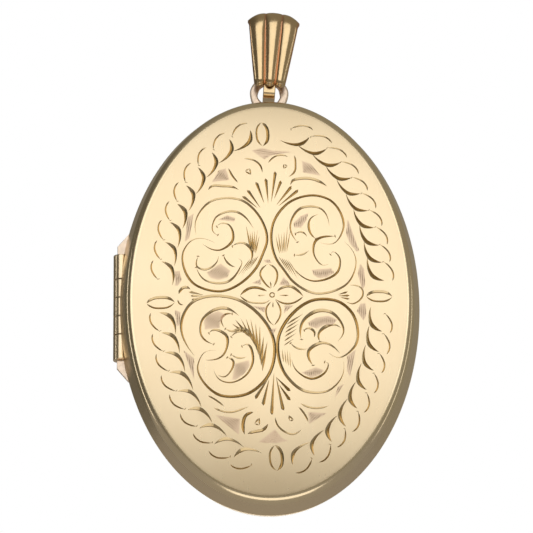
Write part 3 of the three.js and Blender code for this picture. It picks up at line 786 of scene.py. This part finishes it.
def engraved_face():
    """(points, faces, cut flags, ground flags) of the face. The first points are its edge.
    Each cut's middle and two sides are edges of the mesh, so that it is a clean V."""
    edge = [(x, z) for x, _, z in oval_ring(FACE_INSET, 0, -1)]
    points, lines = list(edge), [(i, (i + 1) % len(edge)) for i in range(len(edge))]

    def add_line(path, closed=False):
        first = len(points)
        points.extend(tuple(q) for q in path)
        lines.extend((first + i, first + i + 1) for i in range(len(path) - 1))
        if closed:
            lines.append((first + len(path) - 1, first))

    for path, left, right, _ in cuts:
        run = np.gradient(path, axis=0)
        run /= np.maximum(np.linalg.norm(run, axis=1), 1e-9)[:, None]
        normal = np.stack([-run[:, 1], run[:, 0]], 1)
        add_line(path)
        add_line(path + normal * left[:, None])
        add_line(path - normal * right[:, None])
    for _, corners in GROUNDS:
        add_line(corners, closed=True)
    reach = HALF_HEIGHT - FACE_INSET - EDGE_CLEARANCE
    for row, z in enumerate(np.arange(-HALF_HEIGHT, HALF_HEIGHT, GRID)):
        for x in np.arange(-HALF_WIDTH, HALF_WIDTH, GRID) + (row % 2) * GRID / 2:
            if oval_through(np.array([x]), np.array([z]))[0] < reach:
                points.append((x, z))

    # Triangles between all of these, numbered again with the edge's points first.
    found = delaunay_2d_cdt([Vector(p) for p in points], lines, [], 0, 1e-4)
    flat = np.array([tuple(v) for v in found[0]])
    triangles = np.array([tuple(f) for f in found[2]])
    source = {}
    for i, origins in enumerate(found[3]):
        for o in origins:
            source.setdefault(o, i)
    order = [source[i] for i in range(len(edge))]
    rest = [i for i in range(len(flat)) if i not in set(order)]
    renumber = np.empty(len(flat), int)
    renumber[order + rest] = np.arange(len(flat))
    flat, triangles = flat[order + rest], renumber[triangles]

    # Slivers go, and each triangle is a cut, a ground or plain by its middle.
    a, b, c = (flat[triangles[:, i]] for i in range(3))
    area = np.abs(np.cross(b - a, c - a))
    triangles = triangles[area > 1e-12]
    middle = flat[triangles].mean(1)
    is_cut = cut_depth(middle) > LEAST_CUT
    is_ground = np.zeros(len(triangles), bool)
    for _, corners in GROUNDS:
        is_ground |= inside(corners, middle)
    depth = dome_depth(oval_through(flat[:, 0], flat[:, 1]))
    y = -depth + cut_depth(flat)
    return np.column_stack([flat[:, 0], y, flat[:, 1]]), triangles, is_cut, is_ground


def dome_normals(points):
    """Outward normals of the uncut dome at these points, facing the front."""

    def depth_at(x, z):
        return dome_depth(oval_through(x, z))

    step = 0.02
    x, z = points[:, 0], points[:, 2]
    slope_x = (depth_at(x + step, z) - depth_at(x - step, z)) / (2 * step)
    slope_z = (depth_at(x, z + step) - depth_at(x, z - step)) / (2 * step)
    normals = np.column_stack([-slope_x, -np.ones(len(x)), -slope_z])
    return normals / np.linalg.norm(normals, axis=1)[:, None]


# Depth of the hinge notch's floor from the seam, where the wall meets the round notch.
NOTCH_MEETING = 0.15
notch_reach = math.sqrt(NOTCH_RADIUS**2 - NOTCH_MEETING**2)
FRONT_NOTCH = notch_reach - HINGE_Y
BACK_NOTCH = notch_reach + HINGE_Y


def cover_rings(side, notch, until_inset):
    """(outer rings from the rim inwards, inner rings from the middle out) of a cover."""
    outer = [oval_ring(RIM_ROUND, SEAM_GAP, side, notch, RIM_ROUND)]
    outer += [
        oval_ring(i, max(d, RIM_ROUND), side, notch + RIM_ROUND)
        for i, d in cover_profile(0, until_inset, CREASE_RADIUS)
    ]
    inner = [
        oval_ring(i, max(d, SEAM_GAP), side, notch, COVER_SHEET)
        for i, d in cover_profile(COVER_SHEET, until_inset + 1, INNER_CREASE_RADIUS)
    ]
    for share in (0.8, 0.6, 0.4, 0.2, 0.06):
        height = (HALF_HEIGHT - until_inset - 1) * share
        depth = float(dome_depth(np.array(height))) - COVER_SHEET
        inner.append(oval_ring(HALF_HEIGHT - height, depth, side))
    return outer, inner[::-1]


def build_front_cover():
    face_points, triangles, is_cut, is_ground = engraved_face()
    outer, inner = cover_rings(-1, FRONT_NOTCH, FACE_INSET)
    count = len(ANGLES)
    # From the engraved face's edge back over the crease to the rim, then in to the middle.
    rings = outer[:-1][::-1] + inner[::-1]
    start = len(face_points)
    points = [tuple(p) for p in face_points] + [p for ring in rings for p in ring]
    faces = [tuple(int(i) for i in t) for t in triangles]
    plain_from = len(faces)
    for face in loft([ANGLES] + rings):
        faces.append(tuple(i if i < count else i - count + start for i in face))
    faces.append(tuple(start + (len(rings) - 1) * count + i for i in range(count)))
    # The cuts take a darker gold than the face's: painted shade in the grooves.
    golds = [satin_gold, cut_gold_painted_shade, ground_gold, burnished_gold]
    plain, cut, ground, burnished = range(len(golds))
    slots = [ground if g else cut if c else plain for c, g in zip(is_cut, is_ground)]
    slots += [plain] * (len(faces) - plain_from)
    crease_from = plain_from + len(EDGE_SHARES) * count
    crease_until = crease_from + CREASE_STEPS * count
    slots[crease_from:crease_until] = [burnished] * (crease_until - crease_from)
    cover = make_piece(
        "front_cover_engraved", points, faces, golds,
        "cover", ["front_cover"], sharp=50, face_slots=slots,
    )

    # The plain face shades as the smooth dome, and each cut as flat facets.
    mesh = cover.data
    face_normals = dome_normals(face_points)
    normals = [Vector((0, 0, 0))] * len(mesh.loops)
    corner_normals = [Vector(n.vector) for n in mesh.corner_normals]
    for polygon in mesh.polygons:
        for loop in polygon.loop_indices:
            vertex = mesh.loops[loop].vertex_index
            if polygon.index < plain_from and is_cut[polygon.index]:
                normals[loop] = polygon.normal.copy()
            elif vertex < start:
                normals[loop] = Vector(face_normals[vertex])
            else:
                normals[loop] = corner_normals[loop]
    mesh.normals_split_custom_set(normals)


build_front_cover()


# ---------------------------------------------------------------------------
# Back cover
# The same stamped oval as the front, left plain behind. Its rim meets the front's at the
# seam, and the back is worn smooth by cloth and skin.

# Worn gold: the satin of the front rubbed half bright, in soft patches and stray lines.
worn_gold = gold(
    "worn_satin_gold", "#f7dfb6", "#efd2a2", 0.24, 0.08, brush_mm=0.3, bump=0.05, warm_mm=4
)


def build_back_cover():
    outer, inner = cover_rings(1, BACK_NOTCH, FACE_INSET)
    shares = (0.85, 0.7, 0.55, 0.4, 0.25, 0.1, 0.03)
    heights = [(HALF_HEIGHT - FACE_INSET) * share for share in shares]
    dome = [oval_ring(HALF_HEIGHT - h, float(dome_depth(np.array(h))), 1) for h in heights]
    rings = dome[::-1] + outer[::-1] + inner[::-1]
    count = len(ANGLES)
    faces = loft(rings)
    faces.append(tuple(range(count)))
    faces.append(tuple((len(rings) - 1) * count + i for i in range(count)))
    make_piece(
        "back_cover_plain", [p for ring in rings for p in ring], faces, [worn_gold],
        "case", ["back_cover"], sharp=50,
    )


build_back_cover()


# ---------------------------------------------------------------------------
# Picture frames, windows, cards and seats
# Each half holds a card under a clear acetate window. A sprung gold frame presses both
# on a narrow seat that is soldered inside the wall.

FRAME_FACE_WIDTH = 1.7
FRAME_ROUND = 0.1
FRAME_CROWN = 0.04


def rounded_section(outer, inner, shallow, deep, crown, radius=FRAME_ROUND):
    """A closed [inset, depth] section with rounded corners and a crowned shallow side."""
    corners = (
        (outer + radius, shallow + radius, math.pi, 1.5 * math.pi),
        (inner - radius, shallow + radius, 1.5 * math.pi, 2 * math.pi),
        (inner - radius, deep - radius, 0, 0.5 * math.pi),
        (outer + radius, deep - radius, 0.5 * math.pi, math.pi),
    )
    section = []
    for i, (x, y, start, end) in enumerate(corners):
        for step in range(4):
            angle = start + (end - start) * step / 3
            section.append((x + radius * math.cos(angle), y + radius * math.sin(angle)))
        if i == 0:
            run = inner - outer - 2 * radius
            for share in (0.2, 0.4, 0.6, 0.8):
                lift = crown * math.sin(math.pi * share)
                section.append((outer + radius + run * share, shallow - lift))
    return section


def oval_band(name, section, side, material, body, replaced):
    rings = [oval_ring(inset, depth, side) for inset, depth in section]
    points = [p for ring in rings for p in ring]
    faces = loft(rings, closed=True)
    make_piece(name, points, faces, [material], body, replaced, sharp=60)


def depth_range(node, side):
    low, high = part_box(node)
    depths = sorted(side * (y / MM - CASE_Y) for y in (low[1], high[1]))
    return depths[0], depths[1]


# Frame gold: rolled bright strip with faint lines along it from the rolls.
frame_gold = gold("rolled_bright_gold", "#f6dcaa", "#efcf98", 0.13, 0.05, brush_mm=0.5, bump=0.03)
for half, side, body in (("back", 1, "case"), ("front", -1, "cover")):
    shallow, deep = depth_range(half + "_frame", side)
    frame_inset = HALF_WIDTH - (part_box(half + "_frame")[1][0] / MM - CASE_X)
    frame_inner = frame_inset + FRAME_FACE_WIDTH
    section = rounded_section(frame_inset, frame_inner, shallow + FRAME_CROWN, deep, FRAME_CROWN)
    name = half + "_frame"
    oval_band(name + "_rolled", section, side, frame_gold, body, [name])


def carry_over(node, material):
    """Gives a CAD solid that stays a finished material."""
    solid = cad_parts[node]
    solid.data.materials.clear()
    solid.data.materials.append(material)


# Card: soft cream paper with short fibres and a slight mottle.
card_paper = bpy.data.materials.new("cream_picture_card")
card_paper.use_nodes = True
paper = card_paper.node_tree
paper_shader = paper.nodes["Principled BSDF"]
paper_place = add_node(paper, "ShaderNodeTexCoord").outputs["Object"]
fibres = add_node(
    paper,
    "ShaderNodeTexNoise",
    {"Scale": 1 / (0.25 * MM), "Detail": 6.0, "Distortion": 2.5},
    {"Vector": paper_place},
)
mottle = add_node(
    paper, "ShaderNodeTexNoise", {"Scale": 1 / (5 * MM), "Detail": 3.0}, {"Vector": paper_place}
)
paper_tone = add_node(
    paper,
    "ShaderNodeMix",
    {"data_type": "RGBA", MIX_A: linear("#efe7d4"), MIX_B: linear("#e3d8c0")},
    {0: mottle.outputs["Fac"]},
)
paper_relief = add_node(
    paper,
    "ShaderNodeBump",
    {"Strength": 0.3, "Distance": 0.02 * MM},
    {"Height": fibres.outputs["Fac"]},
)
paper_shader.inputs["Roughness"].default_value = 0.85
paper.links.new(paper_tone.outputs[MIX_RESULT], paper_shader.inputs["Base Color"])
paper.links.new(paper_relief.outputs[0], paper_shader.inputs["Normal"])

# Acetate: thin clear sheet, a little wavy and very finely scratched.
clear_acetate = bpy.data.materials.new("clear_acetate_sheet")
clear_acetate.use_nodes = True
sheet = clear_acetate.node_tree
sheet_shader = sheet.nodes["Principled BSDF"]
sheet_shader.inputs["Base Color"].default_value = linear("#fbfcfa")
sheet_shader.inputs["Transmission Weight"].default_value = 1.0
sheet_shader.inputs["IOR"].default_value = 1.3
sheet_place = add_node(sheet, "ShaderNodeTexCoord").outputs["Object"]
scratches = add_node(
    sheet,
    "ShaderNodeTexNoise",
    {"Scale": 1 / (0.6 * MM), "Detail": 5.0, "Distortion": 1.5},
    {"Vector": sheet_place},
)
sheet_shine = add_node(
    sheet,
    "ShaderNodeMapRange",
    {"To Min": 0.02, "To Max": 0.16},
    {"Value": scratches.outputs["Fac"]},
)
sheet_waves = add_node(
    sheet, "ShaderNodeTexNoise", {"Scale": 1 / (7 * MM)}, {"Vector": sheet_place}
)
sheet_relief = add_node(
    sheet,
    "ShaderNodeBump",
    {"Strength": 0.15, "Distance": 0.1 * MM},
    {"Height": sheet_waves.outputs["Fac"]},
)
sheet.links.new(sheet_shine.outputs[0], sheet_shader.inputs["Roughness"])
sheet.links.new(sheet_relief.outputs[0], sheet_shader.inputs["Normal"])

# Pale gold: rosier metal as it comes from the saw and file, used for what is soldered on.
pale_gold = gold("filed_pale_gold", "#fdebd8", "#f8dcc4", 0.36, 0.1, bump=0.3, warm_mm=1.2)
for half in ("back", "front"):
    carry_over(half + "_card", card_paper)
    carry_over(half + "_window", clear_acetate)
    carry_over(half + "_seat", pale_gold)


# ---------------------------------------------------------------------------
# Snap rim
# A thin band soldered inside the back cover's wall. It stands past the seam and springs
# into the front cover, and it stops on either side of the hinge.

SNAP_SHEET = 0.35
SNAP_ROUND = 0.08
SNAP_END_GAP = 0.1  # from each end of the band to the hinge notch


def build_snap_rim():
    shallow, deep = depth_range("snap_rim", 1)
    snap_inset = HALF_WIDTH - (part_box("snap_rim")[1][0] / MM - CASE_X)
    section = rounded_section(
        snap_inset, snap_inset + SNAP_SHEET, shallow, deep, 0, radius=SNAP_ROUND
    )
    end = math.acos((NOTCH_HALF + SNAP_END_GAP) / HALF_HEIGHT)
    angles = np.linspace(-end, math.pi + end, AROUND)
    rings = []
    for inset, depth in section:
        height = HALF_HEIGHT - inset
        width = float(half_width_at(np.array(height)))
        rings.append([(width * math.sin(a), depth, height * math.cos(a)) for a in angles])
    points = [p for ring in rings for p in ring]
    faces = loft(rings, around=False, closed=True)
    count = len(angles)
    faces.append(tuple(i * count for i in range(len(rings))))
    faces.append(tuple(i * count + count - 1 for i in range(len(rings))))
    make_piece(
        "snap_rim_band", points, faces, [pale_gold], "case", ["snap_rim"], sharp=60
    )


build_snap_rim()


# ---------------------------------------------------------------------------
# Hinge
# Five lengths of gold tube in turn on the case and on the cover, with a drawn wire pin
# through them, and a flat ear soldered to the case past each end.

TURN_STEPS = 48
TUBE_BEVEL = 0.03
BORE = 0.4
PIN_RADIUS = 0.36
PIN_ROUND = 0.1


def turned(name, profile, place, material, body, slot_name, replaced, closed=True):
    """A solid of revolution. profile is [radius, distance along] and place sets its axis."""
    rings = []
    for radius, along in profile:
        ring = []
        for i in range(TURN_STEPS):
            angle = 2 * math.pi * i / TURN_STEPS
            ring.append(place(radius * math.cos(angle), radius * math.sin(angle), along))
        rings.append(ring)
    faces = loft(rings, closed=closed)
    if not closed:
        faces.append(tuple(range(TURN_STEPS)))
        faces.append(tuple((len(rings) - 1) * TURN_STEPS + i for i in range(TURN_STEPS)))
    points = [p for ring in rings for p in ring]
    make_piece(name, points, faces, [material], body, replaced, sharp=40)


def on_hinge(x, y, z):
    return HINGE_X + x, HINGE_Y + y, z


# Tube gold: drawn tube, bright along its length with fine lines and a duller, older tone.
tube_gold = gold(
    "drawn_tube_gold", "#f8e4c4", "#f0d6ae", 0.24, 0.04, brush_mm=0.15, bump=0.08, warm_mm=1.5
)
for knuckle, body in (
    ("case_top", "case"), ("cover_upper", "cover"), ("case_middle", "case"),
    ("cover_lower", "cover"), ("case_bottom", "case"),
):
    low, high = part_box("knuckle_" + knuckle)
    bottom, top = (z / MM - CASE_Z for z in (low[2], high[2]))
    r, b = KNUCKLE_RADIUS, TUBE_BEVEL
    rounded_end = [(r - b, 0), (r - 0.3 * b, 0.3 * b), (r, b), (r, 3 * b)]
    tube = [(BORE, bottom)] + [(radius, bottom + up) for radius, up in rounded_end]
    tube += [(radius, top - up) for radius, up in rounded_end[::-1]] + [(BORE, top)]
    name = "knuckle_" + knuckle
    turned(name + "_tube", tube, on_hinge, tube_gold, body, "satin_gold", [name])

# Wire gold: the pin's drawn and burnished metal.
wire_gold = gold("drawn_wire_gold", "#f3d9a8", "#e7c58c", 0.15, 0.04, brush_mm=0.1, bump=0.05)
pin = [(0.02, -HINGE_HALF)]
for s in (0.5, 0.85, 1):
    pin.append((PIN_RADIUS * s, -HINGE_HALF + PIN_ROUND * (1 - math.sqrt(1 - s * s))))
pin += [(radius, -along) for radius, along in pin[::-1]]
turned(
    "hinge_pin_wire", pin, on_hinge, wire_gold,
    "case", "bright_gold", ["hinge_pin"], closed=False,
)


WING_EDGE_LENGTH = 0.9
WING_ROUND = 0.05
WING_LAP = 0.05  # into the wall, at the foot


def build_wing(node, end):
    """A flat ear with slightly filed edges, which ends inside the case's wall."""
    low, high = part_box(node)
    x0, x1 = (x / MM - CASE_X for x in (low[0], high[0]))
    y0, y1 = (y / MM - CASE_Y for y in (low[1], high[1]))
    z0, z1 = sorted(abs(z / MM - CASE_Z) for z in (low[2], high[2]))
    edge_end = z0 + WING_EDGE_LENGTH
    inset_top = HALF_WIDTH * math.sqrt(1 - (z1 / HALF_HEIGHT) ** 2)
    inset_low = HALF_WIDTH * math.sqrt(1 - (z0 / HALF_HEIGHT) ** 2)
    outline = [(x0, z0), (x0, edge_end), (-inset_top, z1), (-inset_low + WING_LAP, z0)]
    middle = (sum(x for x, _ in outline) / 4, sum(z for _, z in outline) / 4)
    rings = []
    sides = (
        (y0, WING_ROUND), (y0 + WING_ROUND, 0), (y1 - WING_ROUND, 0), (y1, WING_ROUND),
    )
    for y, shrink in sides:
        ring = []
        for x, z in outline:
            away_x, away_z = x - middle[0], z - middle[1]
            kept = 1 - shrink / math.hypot(away_x, away_z)
            ring.append((middle[0] + away_x * kept, y, end * (middle[1] + away_z * kept)))
        rings.append(ring)
    faces = loft(rings) + [(0, 1, 2, 3), (12, 13, 14, 15)]
    points = [p for ring in rings for p in ring]
    make_piece(node + "_filed", points, faces, [pale_gold], "case", [node], sharp=20)


build_wing("hinge_wing_upper", 1)
build_wing("hinge_wing_lower", -1)


# ---------------------------------------------------------------------------
# Hanging ring
# A ring cut from thick sheet and soldered upright on the back cover's wall, filed by hand
# so that its edges and faces are a little uneven.

RING_INNER = 1.15
ring_low, ring_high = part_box("hanging_ring")
RING_OUTER = (ring_high[0] - ring_low[0]) / 2 / MM
RING_X = (ring_high[0] + ring_low[0]) / 2 / MM - CASE_X
RING_Y = (ring_high[1] + ring_low[1]) / 2 / MM - CASE_Y
RING_Z = ring_high[2] / MM - RING_OUTER - CASE_Z
RING_HALF = (ring_high[1] - ring_low[1]) / 2 / MM
RING_SINK = 0.35  # the ring's foot is filed flat this far below the top of the rim
RING_STEPS = 24  # round the ring's section
RING_SQUARENESS = 0.45  # 1 would be a round section


def build_hanging_ring():
    section = []
    middle, half_face = (RING_INNER + RING_OUTER) / 2, (RING_OUTER - RING_INNER) / 2
    for i in range(RING_STEPS):
        angle = 2 * math.pi * i / RING_STEPS
        side, face = math.cos(angle), math.sin(angle)
        side = math.copysign(abs(side) ** RING_SQUARENESS, side)
        face = math.copysign(abs(face) ** RING_SQUARENESS, face)
        section.append((middle + half_face * side, RING_HALF * face))
    rings = []
    for i in range(TURN_STEPS):
        angle = 2 * math.pi * i / TURN_STEPS
        wander = 0.03 * math.sin(3 * angle + 1) + 0.02 * math.sin(7 * angle)
        ring = []
        for radius, y in section:
            radius += wander * (radius - middle) / half_face
            x, z = radius * math.cos(angle), radius * math.sin(angle)
            ring.append((RING_X + x, RING_Y + y, max(RING_Z + z, HALF_HEIGHT - RING_SINK)))
        rings.append(ring)
    points = [p for ring in rings for p in ring]
    make_piece(
        "hanging_ring_filed", points, loft(rings, closed=True), [pale_gold],
        "case", ["hanging_ring"], sharp=60,
    )


build_hanging_ring()


# ---------------------------------------------------------------------------
# Bail
# One fan of thin gold sheet, pressed in three flutes and folded over the chain. Each flute
# of its front ends in a small bead, and it leans to the right on the ring.

BAIL_LEAN = math.radians(3.5)
FOLD_RADIUS = 2.1
LEG_LENGTH = 6.4  # from the front foot up to the fold
BACK_LEAF_RISE = 1.25
FOOT_RISE = 0.35  # front foot above the ring's centre
FOOT_HALF_DEPTH = 1.95
BAIL_SHEET = 0.3
SHOULDER_HALF = 2.7
SHOULDER_SHARE = 0.22
FRONT_FOOT_HALF = 1.62
BACK_HALF, BACK_FOOT_HALF = 1.75, 1.3
LEAF_CROWN, FOLD_CROWN = 0.3, 0.85
FLUTES = 3
FLUTE_DEPTH = 0.28
FLUTE_FADE = 0.8  # share of the flutes' depth that is lost at the top of the fold
FOLD_SQUARENESS = 0.62  # 1 would fold the sheet to a half circle
LOBE_DROP = 0.42
BEAD_RISE, BEAD_UP, BEAD_REACH = 0.26, 0.3, 0.2  # of the bead that ends each flute


def mix(a, b, t):
    return a + (b - a) * t


def lean(x, y, z):
    """From the bail's own upright place, with the ring's centre at its foot, to the case."""
    return (
        RING_X + x * math.cos(BAIL_LEAN) + z * math.sin(BAIL_LEAN),
        RING_Y + y,
        RING_Z - x * math.sin(BAIL_LEAN) + z * math.cos(BAIL_LEAN),
    )


def flute_bulge(u):
    """1 along the middle of a flute and 0 in the valleys."""
    return abs(math.cos(u * FLUTES * math.pi / 2)) ** 0.7


def bail_point(u, leg, over, back, sunk):
    """A point of the sheet: u runs across it from -1 to 1, and leg, over and back run up its
    front, over the fold and down its back, each from 0 to 1. sunk is below its outside."""
    shoulder_run = SHOULDER_SHARE * math.pi * FOLD_RADIUS
    run = leg * LEG_LENGTH + min(over / SHOULDER_SHARE, 1) * shoulder_run
    front_half = mix(FRONT_FOOT_HALF, SHOULDER_HALF, run / (LEG_LENGTH + shoulder_run))
    past = max(0, (over - SHOULDER_SHARE) / (1 - SHOULDER_SHARE))
    half = mix(front_half, mix(BACK_HALF, BACK_FOOT_HALF, back), past)
    bulge = flute_bulge(u)
    up = leg * (1 - back)
    arch = math.sin(over * math.pi)
    sunk += mix(LEAF_CROWN * u * u, FOLD_CROWN * abs(u) ** 3, arch)
    sunk += FLUTE_DEPTH * (1 - FLUTE_FADE * arch) * (1 - bulge)
    bead = BEAD_RISE * bulge**2 * math.exp(-(((leg * LEG_LENGTH - BEAD_UP) / BEAD_REACH) ** 2))
    depth = mix(FOOT_HALF_DEPTH, FOLD_RADIUS, up) - sunk + (bead if over == 0 else 0)
    foot = FOOT_RISE + (BACK_LEAF_RISE if over else 0) + LOBE_DROP * (1 - bulge) * (1 - up)
    forward = math.copysign(abs(math.cos(over * math.pi)) ** FOLD_SQUARENESS, 0.5 - over)
    z = mix(foot, FOOT_RISE + LEG_LENGTH, up) + arch**FOLD_SQUARENESS * depth
    return lean(u * half, -forward * depth, z)


BEAD_SHARE = 0.13  # of the front leaf, meshed finely for the beads
ACROSS, BEAD_ROWS, LEAF_ROWS, FOLD_ROWS = 60, 14, 10, 28


def build_bail():
    across = [2 * i / ACROSS - 1 for i in range(ACROSS + 1)]
    legs = [BEAD_SHARE * i / BEAD_ROWS for i in range(BEAD_ROWS)]
    legs += [mix(BEAD_SHARE, 1, i / LEAF_ROWS) for i in range(LEAF_ROWS + 1)]
    route = [(leg, 0, 0) for leg in legs] + [(1, i / FOLD_ROWS, 0) for i in range(1, FOLD_ROWS)]
    route += [(1, 1, i / LEAF_ROWS) for i in range(LEAF_ROWS + 1)]
    outer = [[bail_point(u, *step, 0) for u in across] for step in route]
    inner = [[bail_point(u, *step, BAIL_SHEET) for u in across] for step in route]
    rows = [front + behind[::-1] for front, behind in zip(outer, inner)]
    count = len(rows[0])
    faces = loft(rows)
    for base in (0, (len(rows) - 1) * count):
        for i in range(len(across) - 1):
            far = base + count - 1 - i
            faces.append((base + i, base + i + 1, far - 1, far))
    points = [p for row in rows for p in row]
    bail = make_piece(
        "bail_fluted", points, faces, [bail_gold], "bail", ["bail"], sharp=50
    )
    # valley is how far each point lies into a flute's valley, where the bail's material paints a
    # rosy reflection.
    valley = bail.data.attributes.new("valley", "FLOAT", "POINT")
    row = [1 - flute_bulge(u) for u in across]
    valley.data.foreach_set("value", (row + row[::-1]) * len(rows))
    soften = bail.modifiers.new("softened_edges", "BEVEL")
    soften.width = 0.05 * MM
    soften.segments = 2
    soften.limit_method = "ANGLE"
    soften.angle_limit = math.radians(50)


# Bail gold: pressed sheet, polished by hand to a shallow, uneven shine. The valleys between the
# flutes get a painted rosy reflection: a colour that stands in for the glow of light bouncing
# between the flutes.
bail_gold = gold("pressed_polished_gold", "#e8cfa6", "#dbbb8b", 0.2, 0.05, bump=0.06, warm_mm=2)
press = bail_gold.node_tree
press_shader = press.nodes["Principled BSDF"]
polished_tone = press_shader.inputs["Base Color"].links[0].from_socket
valley_share = add_node(press, "ShaderNodeAttribute", {"attribute_name": "valley"})
painted_reflection_reach = add_node(
    press,
    "ShaderNodeMapRange",
    {"From Min": 0.45, "From Max": 0.95, "To Min": 0.0, "To Max": 0.8},
    {"Value": valley_share.outputs["Fac"]},
)
# Painted reflection: a rosy colour mixed into the base colour along the flutes' valleys.
painted_reflection_tone = add_node(
    press,
    "ShaderNodeMix",
    {"data_type": "RGBA", MIX_B: linear("#dd9f78")},
    {0: painted_reflection_reach.outputs["Result"], MIX_A: polished_tone},
)
press.links.new(painted_reflection_tone.outputs[MIX_RESULT], press_shader.inputs["Base Color"])
build_bail()


# ---------------------------------------------------------------------------
# Bail strap
# A narrow strip bent to a U. It passes through the ring, and its legs are soldered inside
# the bail's two leaves.

STRAP_WIDTH = 1.25
STRAP_SHEET = 0.32
STRAP_CORNER = 0.5
STRAP_BEVEL = 0.07
STRAP_DROP = 0.6  # below the ring's centre
STRAP_LAP = 2.4  # inside the leaves
CORNER_STEPS = 8


def build_strap():
    low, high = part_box("bail_strap")
    half = (high[1] - low[1]) / 2 / MM
    corner_y, corner_z = half - STRAP_CORNER, STRAP_CORNER - STRAP_DROP
    route = [(-half, FOOT_RISE + STRAP_LAP)]
    for start, centre in ((math.pi, -corner_y), (1.5 * math.pi, corner_y)):
        for i in range(CORNER_STEPS + 1):
            angle = start + math.pi / 2 * i / CORNER_STEPS
            y = centre + STRAP_CORNER * math.cos(angle)
            route.append((y, corner_z + STRAP_CORNER * math.sin(angle)))
    route.append((half, FOOT_RISE + STRAP_LAP))
    edge, inner = STRAP_WIDTH / 2, STRAP_SHEET - STRAP_BEVEL
    inset = edge - STRAP_BEVEL
    section = (
        (-edge, STRAP_BEVEL), (-inset, 0), (inset, 0), (edge, STRAP_BEVEL),
        (edge, inner), (inset, STRAP_SHEET), (-inset, STRAP_SHEET), (-edge, inner),
    )
    points = []
    for k, (y, z) in enumerate(route):
        before, after = route[max(k - 1, 0)], route[min(k + 1, len(route) - 1)]
        run = Vector((after[0] - before[0], after[1] - before[1])).normalized()
        inward = Vector((-run.y, run.x))
        for x, deep in section:
            points.append(lean(x, y + inward.x * deep, z + inward.y * deep))
    faces = loft([section] * len(route))
    faces.append(tuple(range(len(section))))
    faces.append(tuple(len(points) - len(section) + i for i in range(len(section))))
    make_piece(
        "bail_strap_bent", points, faces, [bail_gold],
        "bail", ["bail_strap"], sharp=40,
    )


build_strap()
